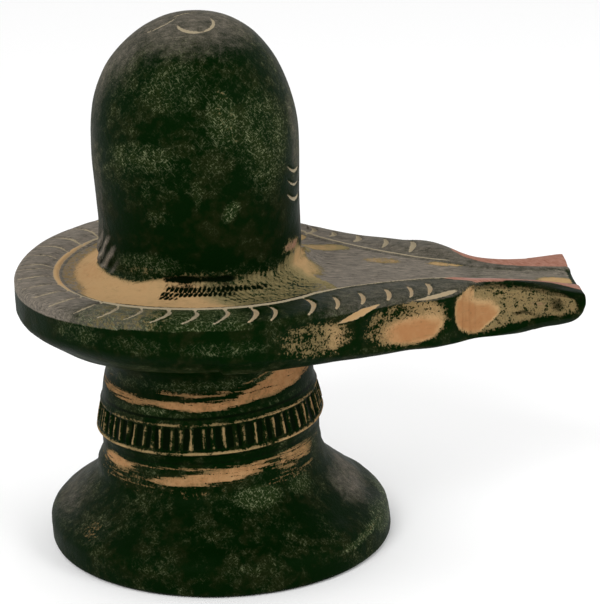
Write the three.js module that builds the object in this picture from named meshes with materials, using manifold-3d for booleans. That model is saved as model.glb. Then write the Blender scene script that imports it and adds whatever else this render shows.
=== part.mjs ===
// A hand-built, fired-clay Shiva lingam: a domed pillar standing in a drop-shaped dish (yoni) with a
// drain spout, on a turned pedestal with a ribbed collar. It was luted and baked as one piece.
// Millimetres, +Z up, +X along the spout. The origin is on the flat foot, on the base's axis.
import * as THREE from "three";
import { mergeVertices } from "three/addons/utils/BufferGeometryUtils.js";
import Module from "manifold-3d";

const wasm = await Module();
wasm.setup();

// ---- Driving dimensions -------------------------------------------------------------------------
const FOOT_RADIUS = 52.4; // flat face that the piece stands on
const FOOT_SHIFT = [0.5, -1.2]; // the foot sits a little off the base's axis
const SHOULDER_BACK = 0.6; // and the base's shoulder a little the other way
const BASE_RADIUS = 53.2;
const BASE_WALL_TOP = 7.0;
const WAIST_RADIUS = 34.1;
const WAIST_HEIGHT = 28.0;

const COLLAR_LOW = 38.7; // centre height of the lower ridge
const COLLAR_HIGH = 47.3; // centre height of the upper ridge
const LOW_RIDGE_RADIUS = 35.5;
const HIGH_RIDGE_RADIUS = 34.2;
const RIB_RADIUS = 33.8; // outer radius of the ribs at the upper ridge
const RIB_FLARE = 1.4; // how much wider the ribs are at the lower ridge
const RIB_COUNT = 66;
const RIB_DEPTH = 1.3;

const NECK_RADIUS = 31.6;
const NECK_TOP = 63.0;

const DISH_RADIUS = 58.0;
const DISH_TOP = 89.0;
const DISH_WALL_FOOT = 79.0;
const RING_RADIUS = 44.2; // thin raised line between the rim band and the hollow
const RING_HEIGHT = 0.7;
const HOLLOW_DEPTH = 1.0;
const SEAT_RISE = 3.0; // the clay swells up against the pillar

const PILLAR_RADIUS = 31.4;
const PILLAR_WAIST = 0.7; // how much thinner the pillar is near its foot
const DOME_CENTRE = 125.0;
const DOME_HEIGHT = 40.3;
const DOME_POWER = 2.15; // 2 is an ellipse, more is fuller

const FOREHEAD_HEIGHTS = [116.4, 112.2, 107.2]; // three crescents on the spout's side
const FOREHEAD_ASIDE = THREE.MathUtils.degToRad(-15);
const CROWN_CENTRE = [2.4, -7.4]; // the ring on the crown is off the pillar's axis
const CROWN_RING = 6.4;

const SPOUT_TIP = 113.8;
const TIP_SKEW = 0.05; // the spout's end isn't cut square
const GOUGE_STEP = 8.7;
const GOUGE_DEPTH = 1.1;
const GOUGE_COUNT = 18; // on each side of the dish
const RIM_BEND = THREE.MathUtils.degToRad(128); // the rim band is round up to here from the back
const RIM_START = new THREE.Vector2(31.5, 40.3); // and straight between these two points
const RIM_END = new THREE.Vector2(71, 16.6);

const HAND_SHAPE_FROM = 71; // only the dish above this height is out of true
const FAR_PINCH = 7.5; // the far rim is drawn in by this much beside the pillar
const FAR_SWELL = 2.6; // and pushed out by this much behind it
const DROOP = Math.tan(THREE.MathUtils.degToRad(6.1)); // fall of the spout from the dish's plane
const DROOP_ROUND = 20; // length over which the fall begins
const DROOP_HEIGHTS = [58, 74]; // the fall fades out below the dish
const TILT = Math.tan(THREE.MathUtils.degToRad(3.0)); // collar, dish and pillar rise to the spout
const LEAN = Math.tan(THREE.MathUtils.degToRad(1.3)); // pillar and neck lean back from the spout
const SET_BACK = 1.5; // neck set off the base's shoulder
const TURN_START = 20; // the lean and tilt begin above this height
const TURN_FULL = 33;

const ROUND_STEPS = 48; // facets round the turned forms

// ---- Small tools --------------------------------------------------------------------------------
const { smoothstep } = THREE.MathUtils;

// A smooth curve through a few (x, y) points, read as y at x.
function curveThrough(pairs) {
  const spline = new THREE.SplineCurve(pairs.map(([x, y]) => new THREE.Vector2(x, y)));
  const dense = spline.getPoints(120);
  return (x) => {
    const i = dense.findIndex((p) => p.x >= x);
    if (i === -1) return dense[dense.length - 1].y;
    if (i === 0) return dense[0].y;
    const [a, b] = [dense[i - 1], dense[i]];
    return THREE.MathUtils.lerp(a.y, b.y, (x - a.x) / (b.x - a.x));
  };
}

// A closed three.js geometry as a solid. A form whose faces point inwards is turned round.
function solid(geometry) {
  const bare = geometry.clone();
  bare.deleteAttribute("normal");
  bare.deleteAttribute("uv");
  const merged = mergeVertices(bare, 1e-4);
  const triVerts = new Uint32Array(merged.index.array);
  const vertProperties = merged.attributes.position.array;
  const made = new wasm.Manifold(new wasm.Mesh({ numProp: 3, vertProperties, triVerts }));
  if (made.volume() > 0) return made;
  for (let i = 0; i < triVerts.length; i += 3)
    [triVerts[i + 1], triVerts[i + 2]] = [triVerts[i + 2], triVerts[i + 1]];
  return new wasm.Manifold(new wasm.Mesh({ numProp: 3, vertProperties, triVerts }));
}

// A solid back as a three.js geometry.
function geometryOf(body) {
  const { vertProperties, triVerts, numProp } = body.getMesh();
  const count = vertProperties.length / numProp;
  const positions = new Float32Array(count * 3);
  for (let i = 0; i < count; i++)
    positions.set(vertProperties.subarray(i * numProp, i * numProp + 3), i * 3);
  return new THREE.BufferGeometry()
    .setAttribute("position", new THREE.BufferAttribute(positions, 3))
    .setIndex(new THREE.BufferAttribute(triVerts, 1));
}

// Moves every vertex of a solid by a rule that takes and changes a Vector3.
function bend(body, rule) {
  const geometry = geometryOf(body);
  const place = geometry.attributes.position;
  const p = new THREE.Vector3();
  for (let i = 0; i < place.count; i++) {
    rule(p.fromBufferAttribute(place, i));
    place.setXYZ(i, p.x, p.y, p.z);
  }
  return solid(geometry);
}

const joined = (bodies) => bodies.reduce((all, one) => all.add(one));
const cutBy = (body, tools) => tools.reduce((left, one) => left.subtract(one), body);

// A turned form about the vertical axis from a path of (radius, height).
function turned(path, divisions, steps = ROUND_STEPS) {
  return solid(new THREE.LatheGeometry(path.getPoints(divisions), steps).rotateX(Math.PI / 2));
}

// A form carried along X: stations of x, each with a closed section of [y, z] points.
function carried(stations, sectionAt) {
  const around = sectionAt(stations[0]).length;
  const form = new THREE.CylinderGeometry(1, 1, 1, around, stations.length - 1);
  const place = form.attributes.position;
  for (let i = 0; i < place.count; i++) {
    const level = Math.round((0.5 - place.getY(i)) * (stations.length - 1));
    const section = sectionAt(stations[level]);
    const turn = Math.atan2(place.getX(i), place.getZ(i)) / (2 * Math.PI);
    const index = Math.round((turn + 1) * around) % around;
    const atCentre = Math.hypot(place.getX(i), place.getZ(i)) < 0.5;
    const middle = (section[0][1] + section[around / 2][1]) / 2;
    const [y, z] = atCentre ? [0, middle] : section[index];
    place.setXYZ(i, stations[level], y, z);
  }
  return solid(form);
}

// An egg-shaped form with its own half sizes, turned about Z and then lifted to its place.
function egg([a, b, c], [x, y, z], turnZ = 0, turnY = 0) {
  const form = new THREE.SphereGeometry(1, 9, 5).scale(a, b, c).rotateY(turnY).rotateZ(turnZ);
  return solid(form.translate(x, y, z));
}

// A crescent of outer radius `bow`, `thick` at its middle and `span` long, bulging towards +X.
function crescent(bow, thick, span, deep) {
  const rise = bow - Math.sqrt(bow ** 2 - (span / 2) ** 2);
  const shape = new THREE.Shape();
  shape.moveTo(-rise, -span / 2);
  shape.quadraticCurveTo(rise, 0, -rise, span / 2);
  shape.quadraticCurveTo(rise - 2 * thick, 0, -rise, -span / 2);
  const made = new THREE.ExtrudeGeometry(shape, { depth: deep, bevelEnabled: false, curveSegments: 3 });
  return made.translate(0, 0, -deep / 2);
}

// ---- Pedestal, neck and dish --------------------------------------------------------------------
function pedestalAndDish() {
  const hollow = DISH_TOP - HOLLOW_DEPTH;
  const path = new THREE.Path();
  path.moveTo(0, 0);
  path.lineTo(FOOT_RADIUS, 0);
  path.lineTo(BASE_RADIUS, 1.4);
  path.lineTo(BASE_RADIUS - 0.1, BASE_WALL_TOP);
  path.quadraticCurveTo(BASE_RADIUS - 0.6, 10.4, 47.2, 13.4);
  path.quadraticCurveTo(40.8, 18.2, 36.4, 22.4);
  path.quadraticCurveTo(WAIST_RADIUS, 25.2, WAIST_RADIUS, WAIST_HEIGHT);
  path.quadraticCurveTo(WAIST_RADIUS - 0.4, 33.5, LOW_RIDGE_RADIUS - 1.1, COLLAR_LOW - 2.2);
  path.lineTo(LOW_RIDGE_RADIUS, COLLAR_LOW - 0.5);
  path.lineTo(LOW_RIDGE_RADIUS, COLLAR_LOW + 0.4);
  path.lineTo(RIB_RADIUS + RIB_FLARE - RIB_DEPTH - 0.6, COLLAR_LOW + 1.6);
  path.lineTo(RIB_RADIUS - RIB_DEPTH - 0.6, COLLAR_HIGH - 1.6);
  path.lineTo(HIGH_RIDGE_RADIUS, COLLAR_HIGH);
  path.lineTo(NECK_RADIUS + 1.5, COLLAR_HIGH + 1.7);
  path.quadraticCurveTo(NECK_RADIUS + 1.2, 52.4, NECK_RADIUS, 56.5);
  path.quadraticCurveTo(NECK_RADIUS - 0.4, 59.5, NECK_RADIUS + 1.2, NECK_TOP);
  path.quadraticCurveTo(35.6, 66.4, 46.0, 69.8);
  path.quadraticCurveTo(56.6, 73.9, DISH_RADIUS, DISH_WALL_FOOT);
  path.lineTo(DISH_RADIUS + 0.1, DISH_TOP - 3.4);
  path.quadraticCurveTo(DISH_RADIUS, DISH_TOP - 0.2, DISH_RADIUS - 3.0, DISH_TOP);
  path.lineTo(RING_RADIUS + 1.0, DISH_TOP);
  path.lineTo(RING_RADIUS, DISH_TOP + RING_HEIGHT);
  path.lineTo(RING_RADIUS - 0.9, hollow + 0.2);
  path.quadraticCurveTo(34.8, hollow, PILLAR_RADIUS - PILLAR_WAIST, DISH_TOP + SEAT_RISE);
  path.lineTo(0, DISH_TOP + SEAT_RISE + 8);
  return turned(path, 2);
}

// The band of upright ribs between the collar's two ridges, as one toothed ring.
function ribBand() {
  const teeth = Array.from({ length: RIB_COUNT * 2 }, (_, i) => {
    const radius = i % 2 ? RIB_RADIUS : RIB_RADIUS - RIB_DEPTH;
    const turn = (i / RIB_COUNT) * Math.PI;
    return new THREE.Vector2(radius * Math.cos(turn), radius * Math.sin(turn));
  });
  const depth = COLLAR_HIGH - COLLAR_LOW - 1;
  const band = new THREE.ExtrudeGeometry(new THREE.Shape(teeth), { depth, bevelEnabled: false });
  return bend(solid(band), (p) => {
    const wider = 1 + (RIB_FLARE / RIB_RADIUS) * (1 - p.z / depth);
    p.set(p.x * wider, p.y * wider, p.z + COLLAR_LOW + 0.5);
  });
}

// ---- Spout --------------------------------------------------------------------------------------
const spoutHalfWidth = curveThrough([
  [8, 55], [22, 53.4], [33, 47.4], [46, 37.6], [60, 29], [69, 25], [76, 19.2], [83, 12.9],
  [91, 11.3], [99, 12.8], [106, 15.8], [111, 18.0], [116, 19.0],
]);
const spoutUnderside = curveThrough([
  [8, 69.4], [30, 69.8], [60, 70.5], [86, 69.9], [98, 72.4], [108, 76.2], [116, 81.0],
]);
const channelHalfWidth = curveThrough([
  [20, 39], [31, 30.2], [43, 21.8], [54, 15.6], [66, 10.6], [77, 7.9], [86, 6.0], [95, 5.7],
  [105, 6.7], [118, 9.6],
]);
const channelFloor = curveThrough([
  [20, 91.6], [34, 90.0], [42, 88.2], [54, 87.3], [70, 86.8], [90, 86.3], [118, 86.0],
]);

function spoutBlank() {
  const stations = [8, 22, 33, 40, 47, 54, 61, 68, 73, 78, 83, 88, 94, 100, 106, 112, 114.5, SPOUT_TIP];
  return carried(stations, (x) => {
    const nose = smoothstep(x, 112, SPOUT_TIP); // the end's corners are rubbed round
    const under = 1 - smoothstep(x, 22, 60); // near the dish it takes the dish's sloping underside
    const w = spoutHalfWidth(x) - 1.3 * nose;
    const low = spoutUnderside(x) + 1.4 * nose;
    const top = DISH_TOP - 0.9 * nose;
    const side = [
      [w - 4.5 - 10 * under, low], [w - 1.1 - 4.4 * under, low + 1.3 + 2.4 * under],
      [w, low + 3.4 + 5.8 * under], [w + 0.1, top - 5.4],
      [w, top - 2.4], [w - 0.8, top - 0.7], [w - 2.8, top],
    ];
    const other = side.map(([y, z]) => [-y, z]).reverse();
    return [[0, low - 0.4], ...side, [0, top], ...other];
  });
}

function channelCutter() {
  const stations = [20, 27, 34, 41, 48, 55, 62, 69, 76, 83, 90, 97, 104, 111, 118];
  const above = DISH_TOP + 8;
  return carried(stations, (x) => {
    const w = channelHalfWidth(x);
    const floor = channelFloor(x) - 0.15;
    const side = [[w * 0.6, floor + 0.1], [w - 0.9, floor + 0.5], [w, floor + 1.5], [w + 0.3, above]];
    return [[0, floor], ...side, [0, above], ...side.map(([y, z]) => [-y, z]).reverse()];
  });
}

// The raised line goes on along both edges of the channel.
function channelEdge(side) {
  const xs = [29, 37, 46, 56, 67, 80];
  const points = xs.map((x) => new THREE.Vector3(x, side * (channelHalfWidth(x) + 0.7), DISH_TOP));
  const bead = new THREE.Shape();
  bead.moveTo(-0.7, 0.9);
  bead.lineTo(-RING_HEIGHT * 0.9, 0);
  bead.lineTo(-0.7, -0.9);
  bead.lineTo(0.7, -0.9);
  bead.lineTo(0.7, 0.9);
  return solid(
    new THREE.ExtrudeGeometry(bead, {
      steps: 10,
      bevelEnabled: false,
      extrudePath: new THREE.CatmullRomCurve3(points),
    }),
  );
}

// ---- Pillar -------------------------------------------------------------------------------------
function pillarRadiusAt(z) {
  if (z >= DOME_CENTRE) {
    const u = Math.min((z - DOME_CENTRE) / DOME_HEIGHT, 1);
    return PILLAR_RADIUS * (1 - u ** DOME_POWER) ** (1 / DOME_POWER);
  }
  return PILLAR_RADIUS - PILLAR_WAIST * smoothstep(DOME_CENTRE - z, 0, 22);
}

function pillar() {
  const foot = DISH_TOP - 8;
  const points = [new THREE.Vector2(0, foot)];
  for (const z of [foot, 96, 106]) points.push(new THREE.Vector2(pillarRadiusAt(z), z));
  const rings = 8;
  for (let i = 0; i <= rings; i++) {
    const turn = (i / rings) * (Math.PI / 2);
    const z = DOME_CENTRE + DOME_HEIGHT * Math.sin(turn);
    points.push(new THREE.Vector2(i === rings ? 0 : pillarRadiusAt(z), z));
  }
  return solid(new THREE.LatheGeometry(points, ROUND_STEPS).rotateX(Math.PI / 2));
}

// Three stacked crescents (the tripundra) pressed into the side that faces the spout.
function foreheadMarks() {
  return FOREHEAD_HEIGHTS.map((z) => {
    const cut = crescent(5.6, 1.3, 9.4, 3);
    cut.rotateZ(-Math.PI / 2).rotateX(Math.PI / 2).rotateZ(Math.PI / 2);
    return solid(cut.translate(pillarRadiusAt(z) + 0.8, 0, z).rotateZ(FOREHEAD_ASIDE));
  });
}

// Two crescents that face each other as a broken ring on the crown.
function crownMarks() {
  const height = DOME_CENTRE + DOME_HEIGHT - 1.2;
  return [-2.3, 0.1].map((turn) => {
    const cut = crescent(6.6, 1.1, 10.5, 2.4);
    cut.translate(CROWN_RING, 0, 0).rotateZ(turn).rotateX(0.22).rotateY(0.07);
    return solid(cut.translate(...CROWN_CENTRE, height));
  });
}

// ---- Tool marks on the dish ---------------------------------------------------------------------
// The middle of the rim band at an arc length from the back, with the heading towards the spout.
function rimPlace(along, side) {
  const middle = (DISH_RADIUS + RING_RADIUS) / 2;
  const turn = along / middle;
  if (turn <= RIM_BEND) {
    const az = Math.PI - turn;
    const at = new THREE.Vector2(middle * Math.cos(az), side * middle * Math.sin(az));
    return { at, heading: side * (az - Math.PI / 2) };
  }
  const start = new THREE.Vector2(RIM_START.x, side * RIM_START.y);
  const way = new THREE.Vector2(RIM_END.x, side * RIM_END.y).sub(start);
  const share = (along - RIM_BEND * middle) / way.length();
  return { at: start.addScaledVector(way, share), heading: way.angle() };
}

function rimGouges() {
  const tools = [];
  for (const side of [-1, 1]) {
    for (let i = 0; i < GOUGE_COUNT; i++) {
      const along = GOUGE_STEP * (i + 0.26);
      const { at, heading } = rimPlace(along + 4 * smoothstep(along, 104, 118), side);
      const long = i < 15 ? 11.5 : 9.5;
      const cut = crescent(i < 6 ? 20 : 7.5, 0.9, long, 2 * GOUGE_DEPTH).rotateZ(heading);
      tools.push(solid(cut.translate(at.x, at.y, DISH_TOP)));
    }
  }
  return tools;
}

// Worn, scooped panels on both sides of the spout, and the leaf-shaped cuts above them.
function spoutScoops() {
  const scoops = [
    { x: 37, z: 81.2, half: [10.5, 2.6, 5.8], sink: 1.3 },
    { x: 63, z: 80.6, half: [12.6, 2.8, 7.0], sink: 1.5 },
    { x: 84, z: 80.2, half: [9.0, 2.6, 8.4], sink: 1.2 },
    { x: 98, z: 82.4, half: [14.5, 2.6, 5.4], sink: 1.2 },
    { x: 50, z: 87.2, half: [6.6, 1.5, 1.3], sink: 0.9, slope: -0.3 },
    { x: 71, z: 88.0, half: [7.2, 1.5, 1.0], sink: 0.9, slope: -0.08 },
  ];
  return [-1, 1].flatMap((side) =>
    scoops.map(({ x, z, half, sink, slope = 0 }) => {
      const run = spoutHalfWidth(x + 3) - spoutHalfWidth(x - 3);
      const y = side * (spoutHalfWidth(x) + half[1] - sink);
      return egg(half, [x, y, z], Math.atan2(side * run, 6), slope);
    }),
  );
}

// A twist of clay pressed against the pillar's foot, at the back left.
function footLump() {
  return [
    egg([2.6, 4.6, 4.2], [-29.3, -8.5, 92.5], 0.25),
    egg([1.9, 3.2, 5.2], [-30.2, -4.5, 95.5], 0.1, 0.12),
    egg([2.2, 4.0, 1.8], [-29.0, -13.0, 90.6], 0.5),
  ];
}

// ---- Assembly -----------------------------------------------------------------------------------
// How far a point lies across the rim band: 0 on the ring or channel edge, 1 on the outer edge.
function acrossBand(p) {
  if (p.x < 31) return smoothstep(Math.hypot(p.x, p.y), RING_RADIUS + 1, DISH_RADIUS);
  return smoothstep(Math.abs(p.y), channelHalfWidth(p.x) + 1, spoutHalfWidth(p.x));
}

// The dish was pressed by hand: its far side is pulled in beside the pillar and fuller behind it.
function handShape(p) {
  if (p.z < HAND_SHAPE_FROM) return;
  const band = acrossBand(p);
  const turn = Math.atan2(p.y, p.x) - THREE.MathUtils.degToRad(120);
  const swell = FAR_SWELL * Math.max(0, Math.cos(turn)) ** 3 * band;
  const reach = Math.hypot(p.x, p.y) || 1;
  const pinch = p.y > 0 ? FAR_PINCH * Math.exp(-(((p.x - 27) / 22) ** 2)) * band : 0;
  p.x += (swell * p.x) / reach - TIP_SKEW * p.y * smoothstep(p.x, 92, SPOUT_TIP);
  p.y += (swell * p.y) / reach - pinch;
}

// The spout falls away from the dish's plane.
function droop(p) {
  handShape(p);
  const along = (p.x + Math.hypot(p.x, DROOP_ROUND)) / 2;
  p.z -= DROOP * along * smoothstep(p.z, ...DROOP_HEIGHTS);
}

// The foot, base, collar and pillar don't share one upright axis.
function settle(p) {
  const aboveFoot = smoothstep(p.z, 0, BASE_WALL_TOP + 6);
  p.x += THREE.MathUtils.lerp(FOOT_SHIFT[0], -SHOULDER_BACK, aboveFoot);
  p.y += THREE.MathUtils.lerp(FOOT_SHIFT[1], 0, aboveFoot);
  const share = smoothstep(p.z, TURN_START, TURN_FULL);
  const above = Math.max(0, p.z - TURN_FULL);
  p.z += TILT * p.x * share;
  p.x -= SET_BACK * share + LEAN * above;
}

function lingamSculpture() {
  const marks = [channelCutter(), ...rimGouges(), ...spoutScoops()];
  const blank = joined([pedestalAndDish(), ribBand(), spoutBlank()]);
  const dish = cutBy(blank, marks);
  const edged = joined([dish, channelEdge(-1), channelEdge(1)]);
  const crowned = cutBy(pillar(), [...foreheadMarks(), ...crownMarks()]);
  return bend(joined([bend(edged, droop), crowned, ...footLump()]), settle);
}

const clay = new THREE.MeshStandardMaterial({ color: 0x1f2a1d, roughness: 0.45, metalness: 0.0 });
const piece = new THREE.Mesh(geometryOf(lingamSculpture()), clay);
piece.name = "lingam_sculpture";

const model = new THREE.Group();
model.add(piece);

export default model;
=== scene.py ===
"""Looks of a hand-built, fired-clay Shiva lingam: one closed mesh with its tool marks.

Shapes are worked out in millimetres in an upright frame, then leaned and drooped as the real one is, and
handed over in metres. The mesh stands in for the plain solid.
"""
import math

import bpy
import numpy as np
from mathutils import Matrix, Vector, geometry


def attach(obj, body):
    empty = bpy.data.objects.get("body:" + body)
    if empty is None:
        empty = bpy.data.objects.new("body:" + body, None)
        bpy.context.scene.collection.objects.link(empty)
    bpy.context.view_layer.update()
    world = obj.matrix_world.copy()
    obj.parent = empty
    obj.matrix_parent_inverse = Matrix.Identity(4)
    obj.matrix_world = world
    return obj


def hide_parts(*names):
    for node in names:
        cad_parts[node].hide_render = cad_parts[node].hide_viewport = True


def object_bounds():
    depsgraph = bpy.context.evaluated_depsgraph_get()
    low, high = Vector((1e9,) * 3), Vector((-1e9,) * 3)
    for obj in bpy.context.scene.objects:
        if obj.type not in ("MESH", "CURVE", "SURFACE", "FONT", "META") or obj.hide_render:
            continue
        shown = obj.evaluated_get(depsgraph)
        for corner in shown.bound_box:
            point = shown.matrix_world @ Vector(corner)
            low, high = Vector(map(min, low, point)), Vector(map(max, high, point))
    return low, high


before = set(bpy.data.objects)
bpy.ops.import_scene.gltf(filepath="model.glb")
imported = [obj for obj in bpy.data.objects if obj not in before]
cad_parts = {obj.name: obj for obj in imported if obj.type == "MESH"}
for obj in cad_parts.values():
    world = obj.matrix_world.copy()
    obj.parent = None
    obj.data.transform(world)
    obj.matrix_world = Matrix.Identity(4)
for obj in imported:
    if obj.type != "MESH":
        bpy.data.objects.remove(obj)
cad_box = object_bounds()
NODE = "lingam_sculpture"
MM = 0.001
TAU = 2 * math.pi

# ---- Driving dimensions (mm, and slopes) -----------------------------------------------------------
FOOT_RADIUS = 52.4
SHOULDER_BACK = 0.6  # everything above the foot stands back by this much
BASE_RADIUS = 53.2
BASE_WALL_TOP = 7.0
WAIST_RADIUS = 34.1
WAIST_HEIGHT = 28.0
COLLAR_LOW = 38.7
COLLAR_HIGH = 47.3
LOW_RIDGE_RADIUS = 35.5
HIGH_RIDGE_RADIUS = 34.2
RIB_COUNT = 66
RIB_DEPTH = 1.3
NECK_RADIUS = 31.6
NECK_TOP = 63.0
DISH_RADIUS = 58.0
DISH_TOP = 89.0
RING_RADIUS = 44.2
PILLAR_RADIUS = 31.4
PILLAR_WAIST = 0.7
PILLAR_FOOT = 92.0
DOME_CENTRE = 125.0
DOME_HEIGHT = 40.3
DOME_POWER = 2.15
SPOUT_TIP = 113.8
HAND_SHAPE_FROM = 71.0  # above this height the rim is out of true
FAR_PINCH = 7.5  # its far side is pressed in by this much where the spout begins
FAR_SWELL = 2.6  # and bulges by this much further back
DROOP = math.tan(math.radians(6.1))  # the spout's fall below the dish's plane
DROOP_ROUND = 20.0  # how softly the fall sets in
DROOP_HEIGHTS = (58.0, 74.0)  # it is full from the second height up
TILT = math.tan(math.radians(3.0))  # dish, collar and pillar rise towards the spout
LEAN = math.tan(math.radians(1.3))  # and lean away from it
SET_BACK = 1.5  # the collar and all above it are set back from the base
TURN_START = 20.0  # tilt and set-back begin at this height
TURN_FULL = 33.0  # and are full here
FOOT_SHIFT = (0.5, -0.6)  # the foot stands a little to one side of the shoulder


# ---- Small tools -----------------------------------------------------------------------------------
def ease(x, start, end):
    """0 at `start` and 1 at `end`, smooth between. Either one may be the higher."""
    t = np.clip((np.asarray(x, float) - start) / (end - start), 0.0, 1.0)
    return t * t * (3.0 - 2.0 * t)


def within(share, edge):
    """1 inside an outline and 0 outside, from the way to its middle as a share of the outline's own."""
    return ease(share, 1 + edge, 1 - edge)


def span(x, low, full_low, full_high, high):
    """1 between the two middle values, falling smoothly to 0 at the outer two."""
    return ease(x, low, full_low) * ease(x, high, full_high)


def bump(x, centre, half):
    """1 at the centre, falling smoothly to 0 at half a width away."""
    t = np.clip(np.abs(np.asarray(x, float) - centre) / half, 0.0, 1.0)
    return (1.0 - t * t) ** 2


def turned_from(az, centre):
    """Signed turn in degrees from a centre, in -180..180."""
    return (az - centre + 180) % 360 - 180


def curve_through(pairs):
    """A smooth curve through a few (x, y) points, read as y at x."""
    p = np.array(pairs, float)
    q = np.vstack([p[:1], p, p[-1:]])
    t = np.linspace(0, 1, 25)[:, None]
    runs = []
    for before, start, end, after in zip(q, q[1:], q[2:], q[3:]):
        leaving, arriving = (end - before) / 2, (after - start) / 2
        cubic = (2 * start - 2 * end + leaving + arriving) * t**3
        square = (3 * end - 3 * start - 2 * leaving - arriving) * t**2
        runs.append(cubic + square + leaving * t + start)
    dense = np.vstack(runs)

    def read(x):
        return np.interp(x, dense[:, 0], dense[:, 1])

    return read


def follow(x, pairs):
    """Straight runs through (x, y) pairs, read as y at x."""
    return np.interp(x, *np.transpose(pairs))


def arc(p0, p1, p2, count):
    """Points of a quadratic curve from p0 to p2 pulled towards p1, without the first one."""
    t = (np.arange(1, count + 1) / count)[:, None]
    p0, p1, p2 = (np.array(p, float) for p in (p0, p1, p2))
    return (1 - t) ** 2 * p0 + 2 * t * (1 - t) * p1 + t**2 * p2


def line(p0, p1, count):
    """Points of a straight run from p0 to p1, without the first one."""
    t = (np.arange(1, count + 1) / count)[:, None]
    return np.array(p0, float) * (1 - t) + np.array(p1, float) * t


def value_noise(p, scale, seed):
    """Smooth noise in -1..1 at points p (n, 3), with features about `scale` mm across."""
    q = p / scale + seed * 17.31
    cell = np.floor(q).astype(np.int64)
    f = q - cell
    f = f * f * (3 - 2 * f)
    total = np.zeros(len(p))
    for corner in range(8):
        step = np.array([corner & 1, corner >> 1 & 1, corner >> 2 & 1])
        key = (cell + step) @ np.array([374761393, 668265263, 2147483647 // 3]) + seed * 362437
        key = (key ^ (key >> 13)) * 1274126177
        value = ((key ^ (key >> 16)) & 0xFFFF) / 32767.5 - 1
        total += value * np.prod(np.where(step == 1, f, 1 - f), axis=1)
    return total


# ---- Outline of the dish and spout -----------------------------------------------------------------
spout_half_width = curve_through([
    (8, 55), (22, 53.4), (33, 47.4), (46, 37.6), (60, 29), (69, 25), (76, 19.2), (83, 12.9),
    (91, 11.3), (99, 12.8), (106, 15.8), (111, 18.0), (116, 19.0),
])
spout_underside = curve_through([
    (8, 69.0), (30, 68.6), (46, 68.8), (60, 69.9), (66, 69.9), (72, 69.0), (80, 67.8), (87, 68.2),
    (94, 70.9), (102, 75.0), (107, 77.0), (110, 78.5), (112, 80.0), (114, 83.0), (116, 86.0),
])
channel_half_width = curve_through([
    (20, 39), (31, 30.2), (43, 21.8), (54, 15.6), (66, 10.6), (77, 7.9), (86, 6.0), (95, 5.7),
    (105, 6.7), (118, 9.6),
])
channel_floor = curve_through([
    (20, 91.6), (34, 90.0), (42, 88.9), (54, 88.5), (66, 88.3), (77, 87.9), (90, 87.6), (118, 87.5),
])
dish_underside = curve_through([
    (32.8, 63.0), (36.0, 66.0), (41.0, 68.4), (46.0, 69.8), (50.5, 71.6), (54.0, 73.6), (56.4, 75.9),
    (57.6, 77.8), (58.0, 79.0),
])
MEETS_CIRCLE = 22.0  # the spout's edges leave the round dish here
TIP_ROUND = 1.3
SLANT = 0.12  # the tip is cut off at a slant, its near corner further out
SLANT_BACK = 0.6
FLAT_BACK = 0.7  # the back of the rim is pressed in by this much
SPOUT_COLUMN = 0.46  # spacing of the wall's columns along the spout
ROUND_COLUMN = 0.85  # and round the back
AT_ONCE = 4000  # points measured against the outline in one go


def outline():
    """The dish's rim in plan, anticlockwise from the tip's middle, with closer points along the spout."""
    start = math.acos(MEETS_CIRCLE / DISH_RADIUS)
    xs = np.linspace(MEETS_CIRCLE, SPOUT_TIP - TIP_ROUND, 120)
    width = spout_half_width(xs)
    round_y = np.sqrt(np.maximum(DISH_RADIUS**2 - xs**2, 0))
    edge = np.stack([xs, np.where(xs > 30, width, np.minimum(width, round_y))], 1)
    corner_y = float(spout_half_width(SPOUT_TIP))
    corner = arc(edge[-1], (SPOUT_TIP, corner_y), (SPOUT_TIP, corner_y - TIP_ROUND), 8)
    turns = np.linspace(start, math.pi, 200)
    round_side = np.stack([DISH_RADIUS * np.cos(turns), DISH_RADIUS * np.sin(turns)], 1)
    upper = np.vstack([[(SPOUT_TIP, 0.0)], corner[::-1], edge[::-1], round_side[1:]])
    whole = np.vstack([upper, (upper * (1, -1))[::-1][1:]])
    length = np.hypot(*np.diff(whole, axis=0).T)
    middle_x = (whole[1:, 0] + whole[:-1, 0]) / 2
    spacing = ROUND_COLUMN + (SPOUT_COLUMN - ROUND_COLUMN) * ease(middle_x, 12, 24)
    run = np.r_[0, np.cumsum(length / spacing)]
    at = np.linspace(0, run[-1], int(run[-1]), endpoint=False)
    return np.stack([np.interp(at, run, whole[:, 0]), np.interp(at, run, whole[:, 1])], 1)


RIM = outline()


def rim_inward():
    """The direction into the dish at each point of the outline."""
    along = np.roll(RIM, -2, 0) - np.roll(RIM, 2, 0)
    along /= np.hypot(*along.T)[:, None]
    return np.stack([-along[:, 1], along[:, 0]], 1)


def rim_distance(x, y):
    """Distance from points inside the outline to it."""
    ab = np.roll(RIM, -1, 0) - RIM
    best = []
    for s in range(0, len(x), AT_ONCE):
        from_a = np.stack([x[s:s + AT_ONCE], y[s:s + AT_ONCE]], 1)[:, None] - RIM
        t = np.clip((from_a * ab).sum(2) / (ab * ab).sum(1), 0, 1)
        best.append(np.sqrt(((from_a - t[..., None] * ab) ** 2).sum(2)).min(1))
    return np.concatenate(best)


def inside_polygon(points, polygon):
    """Which points of a plan lie inside a closed outline."""
    a, b = polygon, np.roll(polygon, -1, 0)
    result = []
    for s in range(0, len(points), AT_ONCE):
        x, y = points[s:s + AT_ONCE, :1], points[s:s + AT_ONCE, 1:]
        crosses = (a[:, 1] > y) != (b[:, 1] > y)
        with np.errstate(divide="ignore", invalid="ignore"):
            at = a[:, 0] + (y - a[:, 1]) * (b[:, 0] - a[:, 0]) / (b[:, 1] - a[:, 1])
        result.append((crosses & (x < at)).sum(1) % 2 == 1)
    return np.concatenate(result)


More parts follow.
